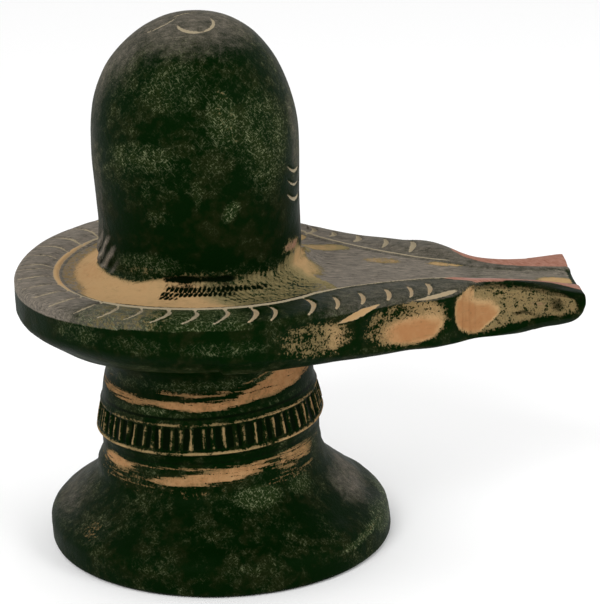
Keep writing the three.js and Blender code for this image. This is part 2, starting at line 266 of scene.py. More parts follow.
# ---- Heights of the dish's two faces ---------------------------------------------------------------
def line_offset(x, y):
    """Distance out from the thin raised line round the hollow and the channel: negative inside."""
    ring = np.hypot(x, y) - RING_RADIUS
    slope = (channel_half_width(x + 1) - channel_half_width(x - 1)) / 2
    edge = (np.abs(y) - channel_half_width(x)) / np.sqrt(1 + slope**2)
    return np.where(x > 26, np.minimum(ring, edge), ring)


def hollow_height(r):
    """Floor of the round hollow, swelling up to the pillar's foot."""
    edge = RING_RADIUS - 0.9
    t = np.clip((edge - r) / (edge - PILLAR_RADIUS + PILLAR_WAIST), 0, 1)
    return DISH_TOP - 0.9 + 4.0 * t**3.4


def top_height(x, y):
    """The dish's upper face: floor of the hollow and the channel, raised line, and rim band."""
    g = line_offset(x, y)  # negative inside the raised line
    r = np.hypot(x, y)
    in_channel = ease(x, 27, 46)
    flare = bump(np.degrees(np.arctan2(y, x)), 2, 26) * np.exp(-np.maximum(r - 31, 0) / 1.9)
    floor = hollow_height(r) + 1.6 * flare
    run = channel_floor(x) + 1.5 * np.exp(np.minimum(g, 0) / 1.1) * ease(x, 52, 74)
    floor = floor * (1 - in_channel) + np.minimum(run, floor + 0.4) * in_channel
    # The rim isn't quite level: it stands higher at the back and along the spout's far side.
    raised = 0.7 * ease(x, 8, -22) + (y > 0) * (0.9 * ease(x, 46, 62) + bump(x, 70, 10))
    band = DISH_TOP + 0.35 * bump(g, 7.0, 7.0) + raised * ease(g, 1.0, 5.0)
    lip = ease(x, 76, 84)  # past the rim band, each edge of the channel is a rounded lip
    band = band - 0.35 * lip * (1 - bump(g, 2.6, 3.4))
    # The edge is crisp in front, and all but level with the floor at the left and on the far side.
    calm = np.maximum(ease(x, -14, -36), ease(y, -4, 6) * ease(x, 8, 26))
    front = ease(y, -22, -34) * ease(x, 46, 30)
    floor = floor + (0.55 * calm + 0.85 * front * (1 - calm)) * np.exp(np.minimum(g, 0) / 2.8)
    raised_line = 0.32 * (1 - lip) * (1 - 0.5 * calm) * bump(g, 0.15, 0.85)
    groove = 0.4 * (1 - 0.5 * lip) * (1 - 0.85 * calm) * bump(g, -1.25, 0.6)
    return floor + (band - floor) * ease(g, -0.9, 0.25) + raised_line - groove


def bottom_height(x, y, d):
    """The dish's lower face, `d` in from the rim: the round bowl and the spout's underside, blended."""
    r = np.hypot(x, y)
    under = 1 - ease(x, 22, 60)
    rise = (3.4 + 4.8 * under) * np.clip(1 - d / (4.5 + 10 * under), 0, 1) ** 2.4
    spout = np.where(x > 8, spout_underside(x) - 0.3 + rise, 999.0)
    dish = dish_underside(np.minimum(r, DISH_RADIUS)) + np.maximum(r - DISH_RADIUS, 0) * 4
    dish = dish + 1.1 * bump(r, 54, 7) * ease(x, -5, -40) - 0.8 * bump(r, 43, 7)
    gap = np.clip(0.5 + 0.5 * (spout - dish) / 1.6, 0, 1)
    return spout * (1 - gap) + dish * gap - 1.6 * gap * (1 - gap)


# ---- Mesh assembly ---------------------------------------------------------------------------------
class Build:
    """Collects points with a zone number, and faces, for the one closed mesh."""

    def __init__(self):
        self.points, self.zones, self.faces = [], [], []
        self.count = 0

    def add(self, points, zone):
        first = self.count
        self.points.append(np.asarray(points, float))
        self.zones.append(np.full(len(points), zone))
        self.count += len(points)
        return np.arange(first, self.count)

    def bridge(self, low, high):
        """Faces between two rings of equal count, low to high, seen from outside."""
        self.faces += np.stack([low, np.roll(low, -1), np.roll(high, -1), high], 1).tolist()

    def zip_rings(self, low, high, low_turn, high_turn):
        """Faces between two rings of unequal count, matched by their turn in 0..1."""
        i = j = 0
        n, m = len(low), len(high)
        low_turn = np.r_[low_turn, low_turn[0] + 1]
        high_turn = np.r_[high_turn, high_turn[0] + 1]
        while i < n or j < m:
            if j == m or (i < n and low_turn[i + 1] <= high_turn[j + 1]):
                self.faces.append([low[i], low[(i + 1) % n], high[j % m]])
                i += 1
            else:
                self.faces.append([low[i % n], high[(j + 1) % m], high[j]])
                j += 1

    def close_foot(self, ring, centre):
        """Faces from the first ring down to its centre."""
        self.faces += [[b, a, centre] for a, b in zip(ring, np.roll(ring, -1))]


BASE, COLLAR, NECK, UNDER, WALL, TOP, PILLAR = range(7)
TURNED_COLUMNS = 220
COLLAR_COLUMNS = 462
PILLAR_COLUMNS = 260
WALL_ROWS = 17
CAP_RADIUS = 14.5  # the crown inside this has a fine grid of its own
PILLAR_FOOT_RADIUS = PILLAR_RADIUS - PILLAR_WAIST
WALL_IN = (6.0, 4.6, 3.3, 2.2, 1.2, 0.5, 0.0)  # how far in from the rim the underside's last rows lie
WALL_OVER = ((0.2, 1.35), (0.6, 0.62), (1.2, 0.2), (2.0, 0.03))  # the rim's rounding: in and down
SHAKE = 0.08  # how far a grid's points are shaken, as a share of their spacing
# Spacing of the points on the underside, the rim band, the hollow's floor, its scored part and the crown.
UNDER_GRID, BAND_GRID, HOLLOW_GRID, SCORED_GRID, CROWN_GRID = 2.0, 0.6, 0.95, 0.48, 0.62


def circle(radius, height, turns):
    return np.stack([radius * np.cos(turns), radius * np.sin(turns), np.full(len(turns), height)], 1)


def turned_rows(build, profile, columns, zone, last=None):
    """Rows of a turned form from (radius, height) points. Returns the first and last rings."""
    turns = np.arange(columns) * TAU / columns
    first = None
    for radius, height in profile:
        ring = build.add(circle(radius, height, turns), zone)
        if last is not None:
            build.bridge(last, ring)
        first = ring if first is None else first
        last = ring
    return first, last


def base_profile():
    """Radius and height from the foot's inside, over the shoulder and up the waist."""
    collar_foot = (LOW_RIDGE_RADIUS - 1.3, COLLAR_LOW - 2.4)
    return np.vstack([
        [(12, 0), (26, 0), (40, 0), (FOOT_RADIUS - 1.4, 0), (FOOT_RADIUS - 0.7, 0.03)],
        arc((FOOT_RADIUS - 0.4, 0.1), (BASE_RADIUS - 0.1, 0.4), (BASE_RADIUS, 1.6), 5),
        line((BASE_RADIUS, 1.6), (BASE_RADIUS - 0.1, BASE_WALL_TOP), 5),
        arc((BASE_RADIUS - 0.1, BASE_WALL_TOP), (BASE_RADIUS - 0.6, 10.4), (47.2, 13.4), 8),
        arc((47.2, 13.4), (40.8, 18.2), (36.4, 22.4), 12),
        arc((36.4, 22.4), (WAIST_RADIUS, 25.2), (WAIST_RADIUS, WAIST_HEIGHT), 6),
        arc((WAIST_RADIUS, WAIST_HEIGHT), (WAIST_RADIUS - 0.4, 33.5), collar_foot, 9),
    ])


def collar_profile():
    """The band between the ridges as a smooth flare: ridges and ribs are raised on it afterwards."""
    heights = np.arange(COLLAR_LOW - 2.0, COLLAR_HIGH + 2.1, 0.45)
    flare = (
        (COLLAR_LOW - 2.2, LOW_RIDGE_RADIUS - 1.2), (COLLAR_LOW, LOW_RIDGE_RADIUS - 0.6),
        (COLLAR_LOW + 1.4, 34.6), (COLLAR_HIGH - 1.4, 33.3),
        (COLLAR_HIGH, HIGH_RIDGE_RADIUS - 0.7), (COLLAR_HIGH + 2, NECK_RADIUS + 1.5),
    )
    return np.stack([follow(heights, flare), heights], 1)


def neck_profile():
    """Radius and height from the collar up to the dish's underside."""
    return np.vstack([
        line((NECK_RADIUS + 1.5, COLLAR_HIGH + 2.1), (NECK_RADIUS + 1.35, COLLAR_HIGH + 2.8), 1),
        arc((NECK_RADIUS + 1.35, COLLAR_HIGH + 2.8), (NECK_RADIUS + 1.0, 53.0), (NECK_RADIUS, 56.5), 8),
        arc((NECK_RADIUS, 56.5), (NECK_RADIUS - 0.4, 59.5), (NECK_RADIUS + 1.2, NECK_TOP), 8),
    ])


def pillar_radius(z):
    u = np.clip((z - DOME_CENTRE) / DOME_HEIGHT, 0, 1)
    dome = PILLAR_RADIUS * (1 - u**DOME_POWER) ** (1 / DOME_POWER)
    return np.where(z >= DOME_CENTRE, dome, PILLAR_RADIUS - PILLAR_WAIST * ease(DOME_CENTRE - z, 0, 22))


def dome_height(r):
    share = np.maximum(1 - (r / PILLAR_RADIUS) ** DOME_POWER, 0)
    return DOME_CENTRE + DOME_HEIGHT * share ** (1 / DOME_POWER)


def pillar_heights():
    """Rows up the pillar, closer together at the crescents, to the edge of the crown's fine cap."""
    runs = ((PILLAR_FOOT + 0.8, 103, 1.0), (103, 121.5, 0.5), (122.2, DOME_CENTRE, 1.3))
    radii = PILLAR_RADIUS * np.cos(np.linspace(0, math.acos(CAP_RADIUS / PILLAR_RADIUS), 27))
    return np.concatenate([*(np.arange(*run) for run in runs), dome_height(radii)])


def pillar_turns():
    """Columns, closer together round the crescents on the spout's side."""
    half_degrees = np.arange(720)
    weights = 1.0 + 2.2 * bump(half_degrees, 690, 36) + 2.2 * bump(half_degrees, -30, 36)
    total = np.r_[0, np.cumsum(weights)]
    columns = np.linspace(0, total[-1], PILLAR_COLUMNS, endpoint=False)
    return np.interp(columns, total, np.arange(721)) * TAU / 720


def scattered(grids, flat):
    """Points on staggered, slightly shaken grids over a plan. Each grid is its spacing and a test."""
    rng = np.random.default_rng(7)
    chosen = []
    for spacing, wanted in grids:
        rows = np.arange(flat[:, 1].min(), flat[:, 1].max(), spacing * 0.866)
        x, y = np.meshgrid(np.arange(flat[:, 0].min(), flat[:, 0].max(), spacing), rows)
        x = (x + (np.arange(len(rows)) % 2)[:, None] * spacing / 2).ravel()
        x = x + rng.uniform(-SHAKE, SHAKE, len(x)) * spacing
        y = y.ravel() + rng.uniform(-SHAKE, SHAKE, len(x)) * spacing
        keep = wanted(x, y)
        chosen.append(np.stack([x[keep], y[keep]], 1))
    return np.vstack(chosen)


def fill(build, outer, inner, grids, zone, flip):
    """Triangles between an outer ring and an inner one, over scattered points. Returns those points."""
    border = np.concatenate([outer, inner]).astype(int)
    flat = np.vstack(build.points)[border][:, :2]
    inside = scattered(grids, flat)
    made = build.add(np.column_stack([inside, np.zeros(len(inside))]), zone)
    flat = np.vstack([flat, inside])
    n, m = len(outer), len(inner)
    edges = [(i, (i + 1) % n) for i in range(n)] + [(n + i, n + (i + 1) % m) for i in range(m)]
    _, _, faces, origin, _, _ = geometry.delaunay_2d_cdt([Vector(c) for c in flat], edges, [], 0, 1e-5)
    source = np.array([o[0] if len(o) else -1 for o in origin])
    tri = source[np.array([list(f) for f in faces])]
    centre = flat[tri].mean(1)
    hole = np.hypot(*flat[n:n + m].T).max() if m else 0.0
    keep = inside_polygon(centre, flat[:n]) & (np.hypot(*centre.T) > hole * 0.9995 - 0.01)
    keep &= ~(np.all(tri >= n, axis=1) & np.all(tri < n + m, axis=1)) | (m == 0)
    tri = tri[keep]
    a, b, c = (flat[tri[:, k]] for k in range(3))
    area = (b[:, 0] - a[:, 0]) * (c[:, 1] - a[:, 1]) - (b[:, 1] - a[:, 1]) * (c[:, 0] - a[:, 0])
    wrong = (area < 0) != flip
    tri[wrong] = tri[wrong][:, ::-1]
    build.faces += np.concatenate([border, made])[tri].tolist()
    return made


def add_pedestal(build):
    """Foot, base, collar and neck. Returns the neck's last ring."""
    centre = build.add([(0, 0, 0)], BASE)[0]
    first, last = turned_rows(build, base_profile(), TURNED_COLUMNS, BASE)
    build.close_foot(first, centre)
    coarse = np.arange(TURNED_COLUMNS) / TURNED_COLUMNS
    fine = np.arange(COLLAR_COLUMNS) / COLLAR_COLUMNS
    for profile, zone, before, here in (
        (collar_profile(), COLLAR, coarse, fine),
        (neck_profile(), NECK, fine, coarse),
    ):
        ring = build.add(circle(*profile[0], here * TAU), zone)
        build.zip_rings(last, ring, before, here)
        _, last = turned_rows(build, profile[1:], len(here), zone, ring)
    return last


def wall_rows():
    """The dish's wall, row by row from the underside's edge up and over the rim."""
    inward = rim_inward()
    room = 1 - 0.62 * ease(RIM[:, 0], 66, 84)  # the spout is too slim for a wide rounding
    corner = np.hypot(RIM[:, 0] - SPOUT_TIP, np.abs(RIM[:, 1]) - spout_half_width(SPOUT_TIP))
    room = room * (1 - 0.64 * bump(corner, 0, 6))
    rows = []
    for d in WALL_IN:
        x, y = (RIM + inward * (d * room)[:, None]).T
        rows.append(np.column_stack([x, y, bottom_height(x, y, d * room)]))
    foot = rows[-1][:, 2]
    # At the channel's mouth the wall's top edge is only a small rounding.
    in_mouth = ease(channel_half_width(SPOUT_TIP) - np.abs(RIM[:, 1]), -0.6, 0.9)
    drop_share = 1 - 0.7 * (RIM[:, 0] > SPOUT_TIP - 3) * in_mouth
    rise = top_height(*(RIM + inward * 2.0).T) - 2.2 * drop_share - foot
    for share in np.linspace(0, 1, WALL_ROWS + 1)[1:]:
        rows.append(np.column_stack([RIM, foot + rise * share]))
    for d, drop in WALL_OVER:
        x, y = (RIM + inward * (d * np.sqrt(room))[:, None]).T
        rows.append(np.column_stack([x, y, top_height(x, y) - drop * drop_share]))
    return rows


def fill_underside(build, ring, edge, neck_ring):
    """The dish's lower face, from the wall in to the neck."""
    def wanted(x, y):
        near = inside_polygon(np.stack([x, y], 1), edge)
        return near & (rim_distance(x, y) > 3.6) & (np.hypot(x, y) > NECK_RADIUS + 2.4)

    made = fill(build, ring, neck_ring, [(UNDER_GRID, wanted)], UNDER, flip=True)
    x, y = np.vstack(build.points)[made, :2].T
    return made, bottom_height(x, y, rim_distance(x, y))


def fill_top(build, ring, edge, foot_ring):
    """The dish's upper face, finest on the rim band and where dashes are scored at the pillar's foot."""
    def scored(x, y):
        turn = np.degrees(np.arctan2(y, x))
        return (turn > -112) & (turn < -62) & (np.hypot(x, y) < 37.5)

    def band(x, y):
        ok = inside_polygon(np.stack([x, y], 1), edge) & (line_offset(x, y) > -2.2)
        ok[ok] = rim_distance(x[ok], y[ok]) > 2.35
        return ok

    def hollow(x, y):
        ok = (np.hypot(x, y) > PILLAR_FOOT_RADIUS + 0.5) & (line_offset(x, y) < -2.6) & (x < SPOUT_TIP - 1)
        return ok & inside_polygon(np.stack([x, y], 1), edge) & ~scored(x, y)

    def foot(x, y):
        return scored(x, y) & (np.hypot(x, y) > PILLAR_FOOT_RADIUS + 0.35)

    grids = [(BAND_GRID, band), (HOLLOW_GRID, hollow), (SCORED_GRID, foot)]
    made = fill(build, ring, foot_ring, grids, TOP, flip=False)
    return made, top_height(*np.vstack(build.points)[made, :2].T)


def add_pillar(build, last, turns):
    """The pillar's rows from its foot ring up, and the crown's fine cap."""
    def on_cap(x, y):
        return np.hypot(x, y) < CAP_RADIUS - 0.4

    for z in pillar_heights():
        ring = build.add(circle(float(pillar_radius(z)), z, turns), PILLAR)
        build.bridge(last, ring)
        last = ring
    made = fill(build, last, [], [(CROWN_GRID, on_cap)], PILLAR, flip=False)
    return made, dome_height(np.hypot(*np.vstack(build.points)[made, :2].T))


def assemble():
    """The whole upright form. Returns its points, their zones and the faces."""
    build = Build()
    neck_ring = add_pedestal(build)
    rows = wall_rows()
    rings = [build.add(row, UNDER if i < 3 else WALL) for i, row in enumerate(rows)]
    for low, high in zip(rings, rings[1:]):
        build.bridge(low, high)
    filled = [fill_underside(build, rings[0], rows[0][:, :2], neck_ring)]
    turns = pillar_turns()
    foot_ring = build.add(circle(PILLAR_FOOT_RADIUS, PILLAR_FOOT, turns), PILLAR)
    filled.append(fill_top(build, rings[-1], rows[-1][:, :2], foot_ring))
    filled.append(add_pillar(build, foot_ring, turns))
    p = np.vstack(build.points)
    for made, heights in filled:
        p[made, 2] = heights
    return p, np.concatenate(build.zones), build.faces


# ---- From the upright frame to the leaning one -----------------------------------------------------
def across_band(x, y):
    """0 at the inner edge of the rim band and 1 at the outer one."""
    round_side = ease(np.hypot(x, y), RING_RADIUS + 1, DISH_RADIUS)
    low = channel_half_width(x) + 1
    spout = np.clip((np.abs(y) - low) / np.maximum(spout_half_width(x) - low, 0.5), 0, 1)
    return np.where(x < 31, round_side, spout * spout * (3 - 2 * spout))


def settle(p, zones):
    """The rim made a little out of true, the spout drooped, and the upper parts leaned and tilted."""
    x, y, z = p.T.copy()
    off_pillar = zones != PILLAR
    band = across_band(x, y) * (z >= HAND_SHAPE_FROM) * off_pillar
    swell = FAR_SWELL * np.maximum(0, np.cos(np.arctan2(y, x) - math.radians(120))) ** 3 * band
    pinch = (y > 0) * FAR_PINCH * np.exp(-(((x - 27) / 22) ** 2)) * band
    slant = (SLANT * y + SLANT_BACK) * ease(x, 92, SPOUT_TIP) * off_pillar
    reach = np.maximum(np.hypot(x, y), 1)
    flat_back = FLAT_BACK * np.maximum(0, -x / reach) ** 8 * band
    x, y = x + swell * x / reach - slant + flat_back, y + swell * y / reach - pinch
    share = np.where(off_pillar, ease(z, *DROOP_HEIGHTS), ease(z, 106, PILLAR_FOOT))
    z = z - DROOP * (x + np.hypot(x, DROOP_ROUND)) / 2 * share
    above_foot = ease(z, 0, BASE_WALL_TOP + 6)
    x = x + FOOT_SHIFT[0] + (-SHOULDER_BACK - FOOT_SHIFT[0]) * above_foot
    y = y + FOOT_SHIFT[1] * (1 - above_foot)
    turn = ease(z, TURN_START, TURN_FULL)
    above = np.maximum(0, z - TURN_FULL)
    z = z + TILT * x * turn
    x = x - SET_BACK * turn - LEAN * above
    return np.stack([x, y, z], 1)


# ---- Tool marks and wear ---------------------------------------------------------------------------
# What the marks leave to the material: clay worn bare in specks (wear) and in turned streaks (rub), tan
# tool marks (cut), a net of thin strokes, a grey-brown layer that is partly a dry film and partly painted
# sheen on edges and tops, red paint, dark pits that also serve as painted shade in grooves and under
# edges, how warm the clay is, and a painted pinkish highlight on the red.
MASKS = ("wear", "rub", "cut", "net", "film", "red", "pit_and_shade", "warm", "red_highlight")
EDGE_RAMP = 0.6  # a mark's colour fades over this much to either side of its edge


class Skin:
    """Where every point lies, with the depth and the masks that the marks leave there."""

    def __init__(self, p, zones):
        self.p, self.zones = p, zones
        self.x, self.y, self.z = p.T
        self.r = np.hypot(self.x, self.y)
        self.az = np.degrees(np.arctan2(self.y, self.x))
        self.depth = np.zeros(len(p))
        self.mask = {name: np.zeros(len(p)) for name in MASKS}
        self.line = line_offset(self.x, self.y)
        # Wear is placed by its turn on the near side: the far side repeats it, a little shifted about.
        shift = 7 * value_noise(p, 30, 3) * (self.y > 0) * np.minimum(1, np.abs(self.y) / 15)
        self.fold = -np.abs(self.az + shift)
        self.broad = value_noise(p, 14, 1)
        self.small = value_noise(p, 4.5, 2)

    def of(self, *zones):
        return np.isin(self.zones, zones)

    def facing(self, centre, half):
        """1 in one direction, falling to 0 at `half` degrees to either side of it."""
        return bump(turned_from(self.az, centre), 0, half)

    def paint(self, name, amount):
        """Raises a mask to an amount where it is lower."""
        self.mask[name] = np.maximum(self.mask[name], amount)

    def add(self, name, amount):
        self.mask[name] = self.mask[name] + amount

    def patch(self, turn, height, half_turn, half_height, lean=0.0):
        """A soft-edged oval on a turned face: 1 inside, 0 outside."""
        across = (self.fold - turn) / half_turn
        up = (self.z - height - lean * (self.fold - turn)) / half_height
        return within(np.hypot(across, up), 0.45)

    def paint_patches(self, on, patches):
        """Patches from rows of mask, turn, height, half turn, half height, strength and perhaps lean."""
        for name, turn, height, half_turn, half_height, strength, *lean in patches:
            self.paint(name, on * self.patch(turn, height, half_turn, half_height, *lean) * strength)

    def oval(self, x, y, half_x, half_y, edge=0.45):
        """A soft-edged oval in plan."""
        return within(np.hypot((self.x - x) / half_x, (self.y - y) / half_y), edge)

    def panel(self, x, z, half_x, half_z, power=2.3, edge=0.16, lean=0.0):
        """A crisp oval on the spout's two side walls."""
        across = np.abs((self.x - x) / half_x)
        up = np.abs((self.z - z - lean * (self.x - x)) / half_z)
        shape = (across**power + up**power) ** (1 / power)
        return within(shape, edge) * self.of(WALL, UNDER)

    def band(self, nodes):
        """A turned band through nodes of turn, height, half thickness and strength."""
        turn, *columns = np.transpose(nodes)
        middle, half, strength = (np.interp(self.fold, turn, column) for column in columns)
        return within(np.abs(self.z - middle) / half, 0.35) * strength


def grooves(z, rows):
    """Turned grooves from rows of height, half width and share of the depth."""
    return sum(share * bump(z, height, half) for height, half, share in rows)


def edge_mask(inside):
    """1 inside a mark and 0 outside, with the ramp between that the mesh can hold."""
    return np.clip(0.5 + inside / (2 * EDGE_RAMP), 0, 1)


def crescent(u, v, bow, thick, long):
    """Millimetres inside a crescent that bulges towards +u, negative outside."""
    rise = bow - math.sqrt(bow**2 - (long / 2) ** 2)
    t = np.abs(2 * v / long)
    half = thick / 2 * np.sqrt(np.clip(1 - t**2, 0, 1))
    middle = -rise * t**2 - thick / 2
    return np.minimum(half - np.abs(u - middle), long / 2 - np.abs(v))


def hand_unevenness(s):
    """The clay was shaped by hand, so nothing is quite true: shallow dips, and a dome fuller at the back."""
    amount = np.where(s.of(TOP) | (s.x > 100) | (s.z < 6), 0.12, 0.34)
    s.depth -= amount * (0.5 + 0.5 * s.broad) + 0.12 * (0.5 + 0.5 * s.small)
    high = s.of(PILLAR) * span(s.z, 128, 144, 150, 161)
    s.depth += high * (0.7 * s.facing(178, 60) - 0.5 * s.facing(2, 60))


# Its grey-brown patches on the two shoulders are painted sheen.
BASE_PATCHES = (
    ("net", -72, 22.6, 20, 5, 0.42), ("net", -66, 23.6, 13, 2.8, 1.2), ("net", -40, 24, 9, 2.6, 0.8),
    ("net", -150, 14, 16, 8, 0.3), ("net", -108, 8.4, 10, 1.8, 0.5), ("net", -76, 8.6, 9, 1.9, 0.42),
    ("net", -124, 22, 18, 1.8, 0.42), ("net", -10, 8, 12, 4.5, 1.0), ("net", -138, 13, 12, 4.4, 0.42),
    ("net", -27, 8.3, 15, 1.1, 1.2, 0.09), ("wear", -25, 8.6, 15, 0.9, 0.27, 0.09),
    ("wear", -118, 26, 40, 2.6, 0.2), ("film", -8, 8, 11, 4, 0.2), ("film", -140, 13, 12, 3.6, 0.17),
    ("pit_and_shade", -40, 5, 14, 3.4, 0.26),
)


def base_marks(s):
    """Turning lines on the foot's wall, a pressed shoulder, the wear on both, and painted grey sheen on both
    shoulders.
    """
    on = s.of(BASE)
    turning = np.sin(s.z * 2.6 + 2 * s.broad) * np.sin(s.z * 0.9 + 1.3)
    s.depth += on * ease(s.z, 2, 8) * 0.1 * turning
    s.depth -= on * bump(s.z, 13, 4) * 0.35 * (0.5 + 0.5 * np.sin(np.radians(s.az) * 9 + 1.5 * s.broad))
    s.paint_patches(on, BASE_PATCHES)
    s.paint("wear", on * (s.y < 0) * s.patch(-140, 12.6, 6, 2.4) * 0.36)
    # Painted grey sheen on the left and right shoulders and on the left side.
    s.paint("film", on * ease(s.fold, -138, -172) * ease(s.z, 6, 15) * (0.36 + 0.24 * s.broad))
    s.paint("film", on * ease(s.fold, -32, -10) * span(s.z, 10, 17, 19, 26) * (0.5 + 0.2 * s.broad))
    s.paint("film", on * ease(s.fold, -150, -176) * 0.2)
    s.add("net", on * (-0.08 - 0.3 * s.patch(-100, 14.5, 26, 5.5)))


WAIST_BAND = (
    (-180, 30.0, 1.0, 0.2), (-150, 29.6, 1.0, 0.4), (-122, 29.0, 1.3, 0.5), (-108, 29.2, 1.7, 0.82),
    (-92, 29.9, 2.1, 0.86), (-83, 30.5, 2.2, 0.86), (-74, 30.9, 2.1, 0.88), (-62, 31.8, 1.8, 0.8),
    (-50, 32.6, 0.9, 0.45), (0, 32.4, 0.8, 0.3),
)
WAIST_LINE = (
    (-180, 33.6, 0.5, 0.3), (-130, 33.4, 0.5, 0.5), (-112, 33.3, 0.42, 0.66), (-84, 33.2, 0.42, 0.66),
    (-72, 33.4, 0.3, 0.35), (0, 33.6, 0.3, 0.25),
)
WAIST_PATCHES = (
    ("rub", -146, 32.2, 14, 2.0, 0.95), ("rub", -38, 31.4, 16, 2.9, 0.66),
    ("rub", -140, 27.0, 20, 1.6, 0.42), ("rub", -40, 26.6, 20, 1.4, 0.36),
)
WAIST_GROOVES = ((34.9, 0.7, 1.0), (27.4, 0.6, 0.7), (31.9, 0.35, 0.5))


def waist_bands(s):
    """Rings rubbed through to the orange clay below the ribbed collar, a swelling at the back, and painted
    shade under the collar.
    """
    low = s.of(BASE, COLLAR) & (s.z < COLLAR_LOW - 0.8)
    s.paint("rub", low * s.band(WAIST_BAND))
    s.paint("rub", low * s.band(WAIST_LINE))
    s.paint_patches(low, WAIST_PATCHES)
    s.paint("warm", low * 0.72)
    s.depth -= low * 0.28 * grooves(s.z, WAIST_GROOVES) * (0.7 + 0.3 * s.broad)
    s.depth += low * 2.0 * s.facing(-174, 60) * bump(s.z, 25.6, 5.6)
    # Painted shade under the collar, along the groove there.
    s.paint("pit_and_shade", low * 0.6 * bump(s.z, 35.2, 1.1))
    s.paint("net", low * 0.4 * (0.5 + 0.5 * s.small))


NECK_BAND = (
    (-180, 54.0, 1.2, 0.4), (-154, 54.2, 1.7, 0.62), (-134, 53.5, 1.5, 0.72), (-118, 53.4, 0.9, 0.62),
    (-108, 53.2, 1.2, 0.85), (-90, 52.8, 1.5, 0.92), (-80, 52.6, 1.3, 0.85), (-72, 53.0, 1.6, 0.74),
    (-64, 54.2, 2.1, 0.8), (-52, 55.4, 2.8, 0.9), (-36, 56.2, 3.2, 0.96), (-22, 56.8, 2.8, 0.9),
    (0, 56.0, 2.2, 0.6),
)
NECK_LINE = (
    (-180, 58, 0.5, 0.2), (-124, 57.4, 0.5, 0.3), (-112, 57.0, 0.7, 0.62), (-86, 55.6, 0.8, 0.6),
    (-70, 56.6, 0.6, 0.4), (-50, 60.4, 0.6, 0.55), (-30, 61.8, 0.7, 0.5), (0, 61.0, 0.5, 0.3),
)
NECK_PATCHES = (("rub", -38, 57.0, 14, 3.4, 1.0), ("net", -118, 51.0, 10, 1.2, 0.9))
NECK_GROOVES = ((49.6, 0.5, 1.0), (55.4, 0.4, 0.8), (58.0, 0.5, 0.6), (61.3, 0.5, 0.6))


def neck_bands(s):
    """Rings rubbed through to the orange clay above the ribbed collar, in a darker orange that is painted
    shade, and a painted shadow line above the ridge.
    """
    on = s.of(NECK, UNDER, COLLAR) & (s.z > COLLAR_HIGH + 0.9) & (s.r < 46)
    s.paint("rub", on * s.band(NECK_BAND))
    s.paint("rub", on * s.band(NECK_LINE))
    s.paint_patches(on, NECK_PATCHES)
    # The orange here is set darker as painted shade under the dish.
    s.paint("warm", on * 0.78)
    s.paint("net", on * 0.5 * bump(s.z, 50.2, 2.6) * (0.7 + 0.5 * s.small))
    s.paint("net", on * 0.5 * bump(s.z, 58.8, 3.6))
    s.depth -= on * 0.26 * grooves(s.z, NECK_GROOVES) * (0.7 + 0.4 * s.broad)
    # Painted shadow line just above the upper ridge.
    s.paint("pit_and_shade", on * 0.75 * bump(s.z, COLLAR_HIGH + 1.9, 0.9))


def collar_ribs(s):
    """Two thin ridges with a band of upright ribs between them, and painted shade in the grooves between the
    ribs.
    """
    on = s.of(COLLAR)
    wander = 0.12 * np.sin(np.radians(s.az) * 3 + 1) + 0.1 * s.broad
    low, high = COLLAR_LOW + wander, COLLAR_HIGH - 0.1 + wander
    s.depth += on * (0.7 * bump(s.z, low, 1.05) + 0.4 * bump(s.z, high, 1.0))
    between = on * span(s.z, COLLAR_LOW + 0.55, COLLAR_LOW + 1.5, COLLAR_HIGH - 1.5, COLLAR_HIGH - 0.6)
    turn = np.radians(s.az) / TAU * RIB_COUNT
    uneven = 0.22 * np.sin(np.floor(turn) * 2.3) + 0.16 * value_noise(s.p, 6, 5)
    turn = turn + uneven * 0.5
    rib = np.floor(turn)
    # 0 on a rib's crest and 1 in the groove, shifted where the rib is wider at one end.
    away = np.abs(turn % 1 - 0.5) * 2 - 0.14 * np.sin(rib * 2.9) * (s.z - 43) / 4
    size = 0.75 + 0.25 * np.sin(rib * 1.7)
    s.depth += between * (RIB_DEPTH * 0.85 * ease(away, 0.56, 0.16) * size - 0.3)
    s.paint("wear", between * ease(away, 0.42, 0.08) * (0.63 + 0.15 * np.sin(rib * 4.1)))
    # Painted shade in the grooves between the ribs.
    s.paint("pit_and_shade", between * ease(away, 0.34, 0.6) * 0.95)
    low_ridge, high_ridge = on * bump(s.z, low, 0.9), on * bump(s.z, high, 0.8)
    s.paint("wear", low_ridge * (0.76 + 0.24 * s.small))
    s.paint("wear", high_ridge * (0.58 + 0.2 * s.small))
    s.paint("rub", high_ridge * s.patch(-40, COLLAR_HIGH, 30, 3) * 0.7)
    s.paint("warm", on * (0.3 + 0.3 * ease(s.fold, -70, -20)))
    s.paint("red", low_ridge * 0.22)
    s.paint("net", on * 0.2)


def third_panel(s):
    """The panel nearest the tip, which grows slimmer and climbs towards it."""
    across = np.abs((s.x - 94.0) / 17.4)
    up = np.abs((s.z - 80.9 - 3.6 * ease(s.x, 84, 108)) / (8.3 - 4.6 * ease(s.x, 82, 112)))
    return within((across**5 + up**2.6) ** (1 / 3.4), 0.12) * s.of(WALL, UNDER)


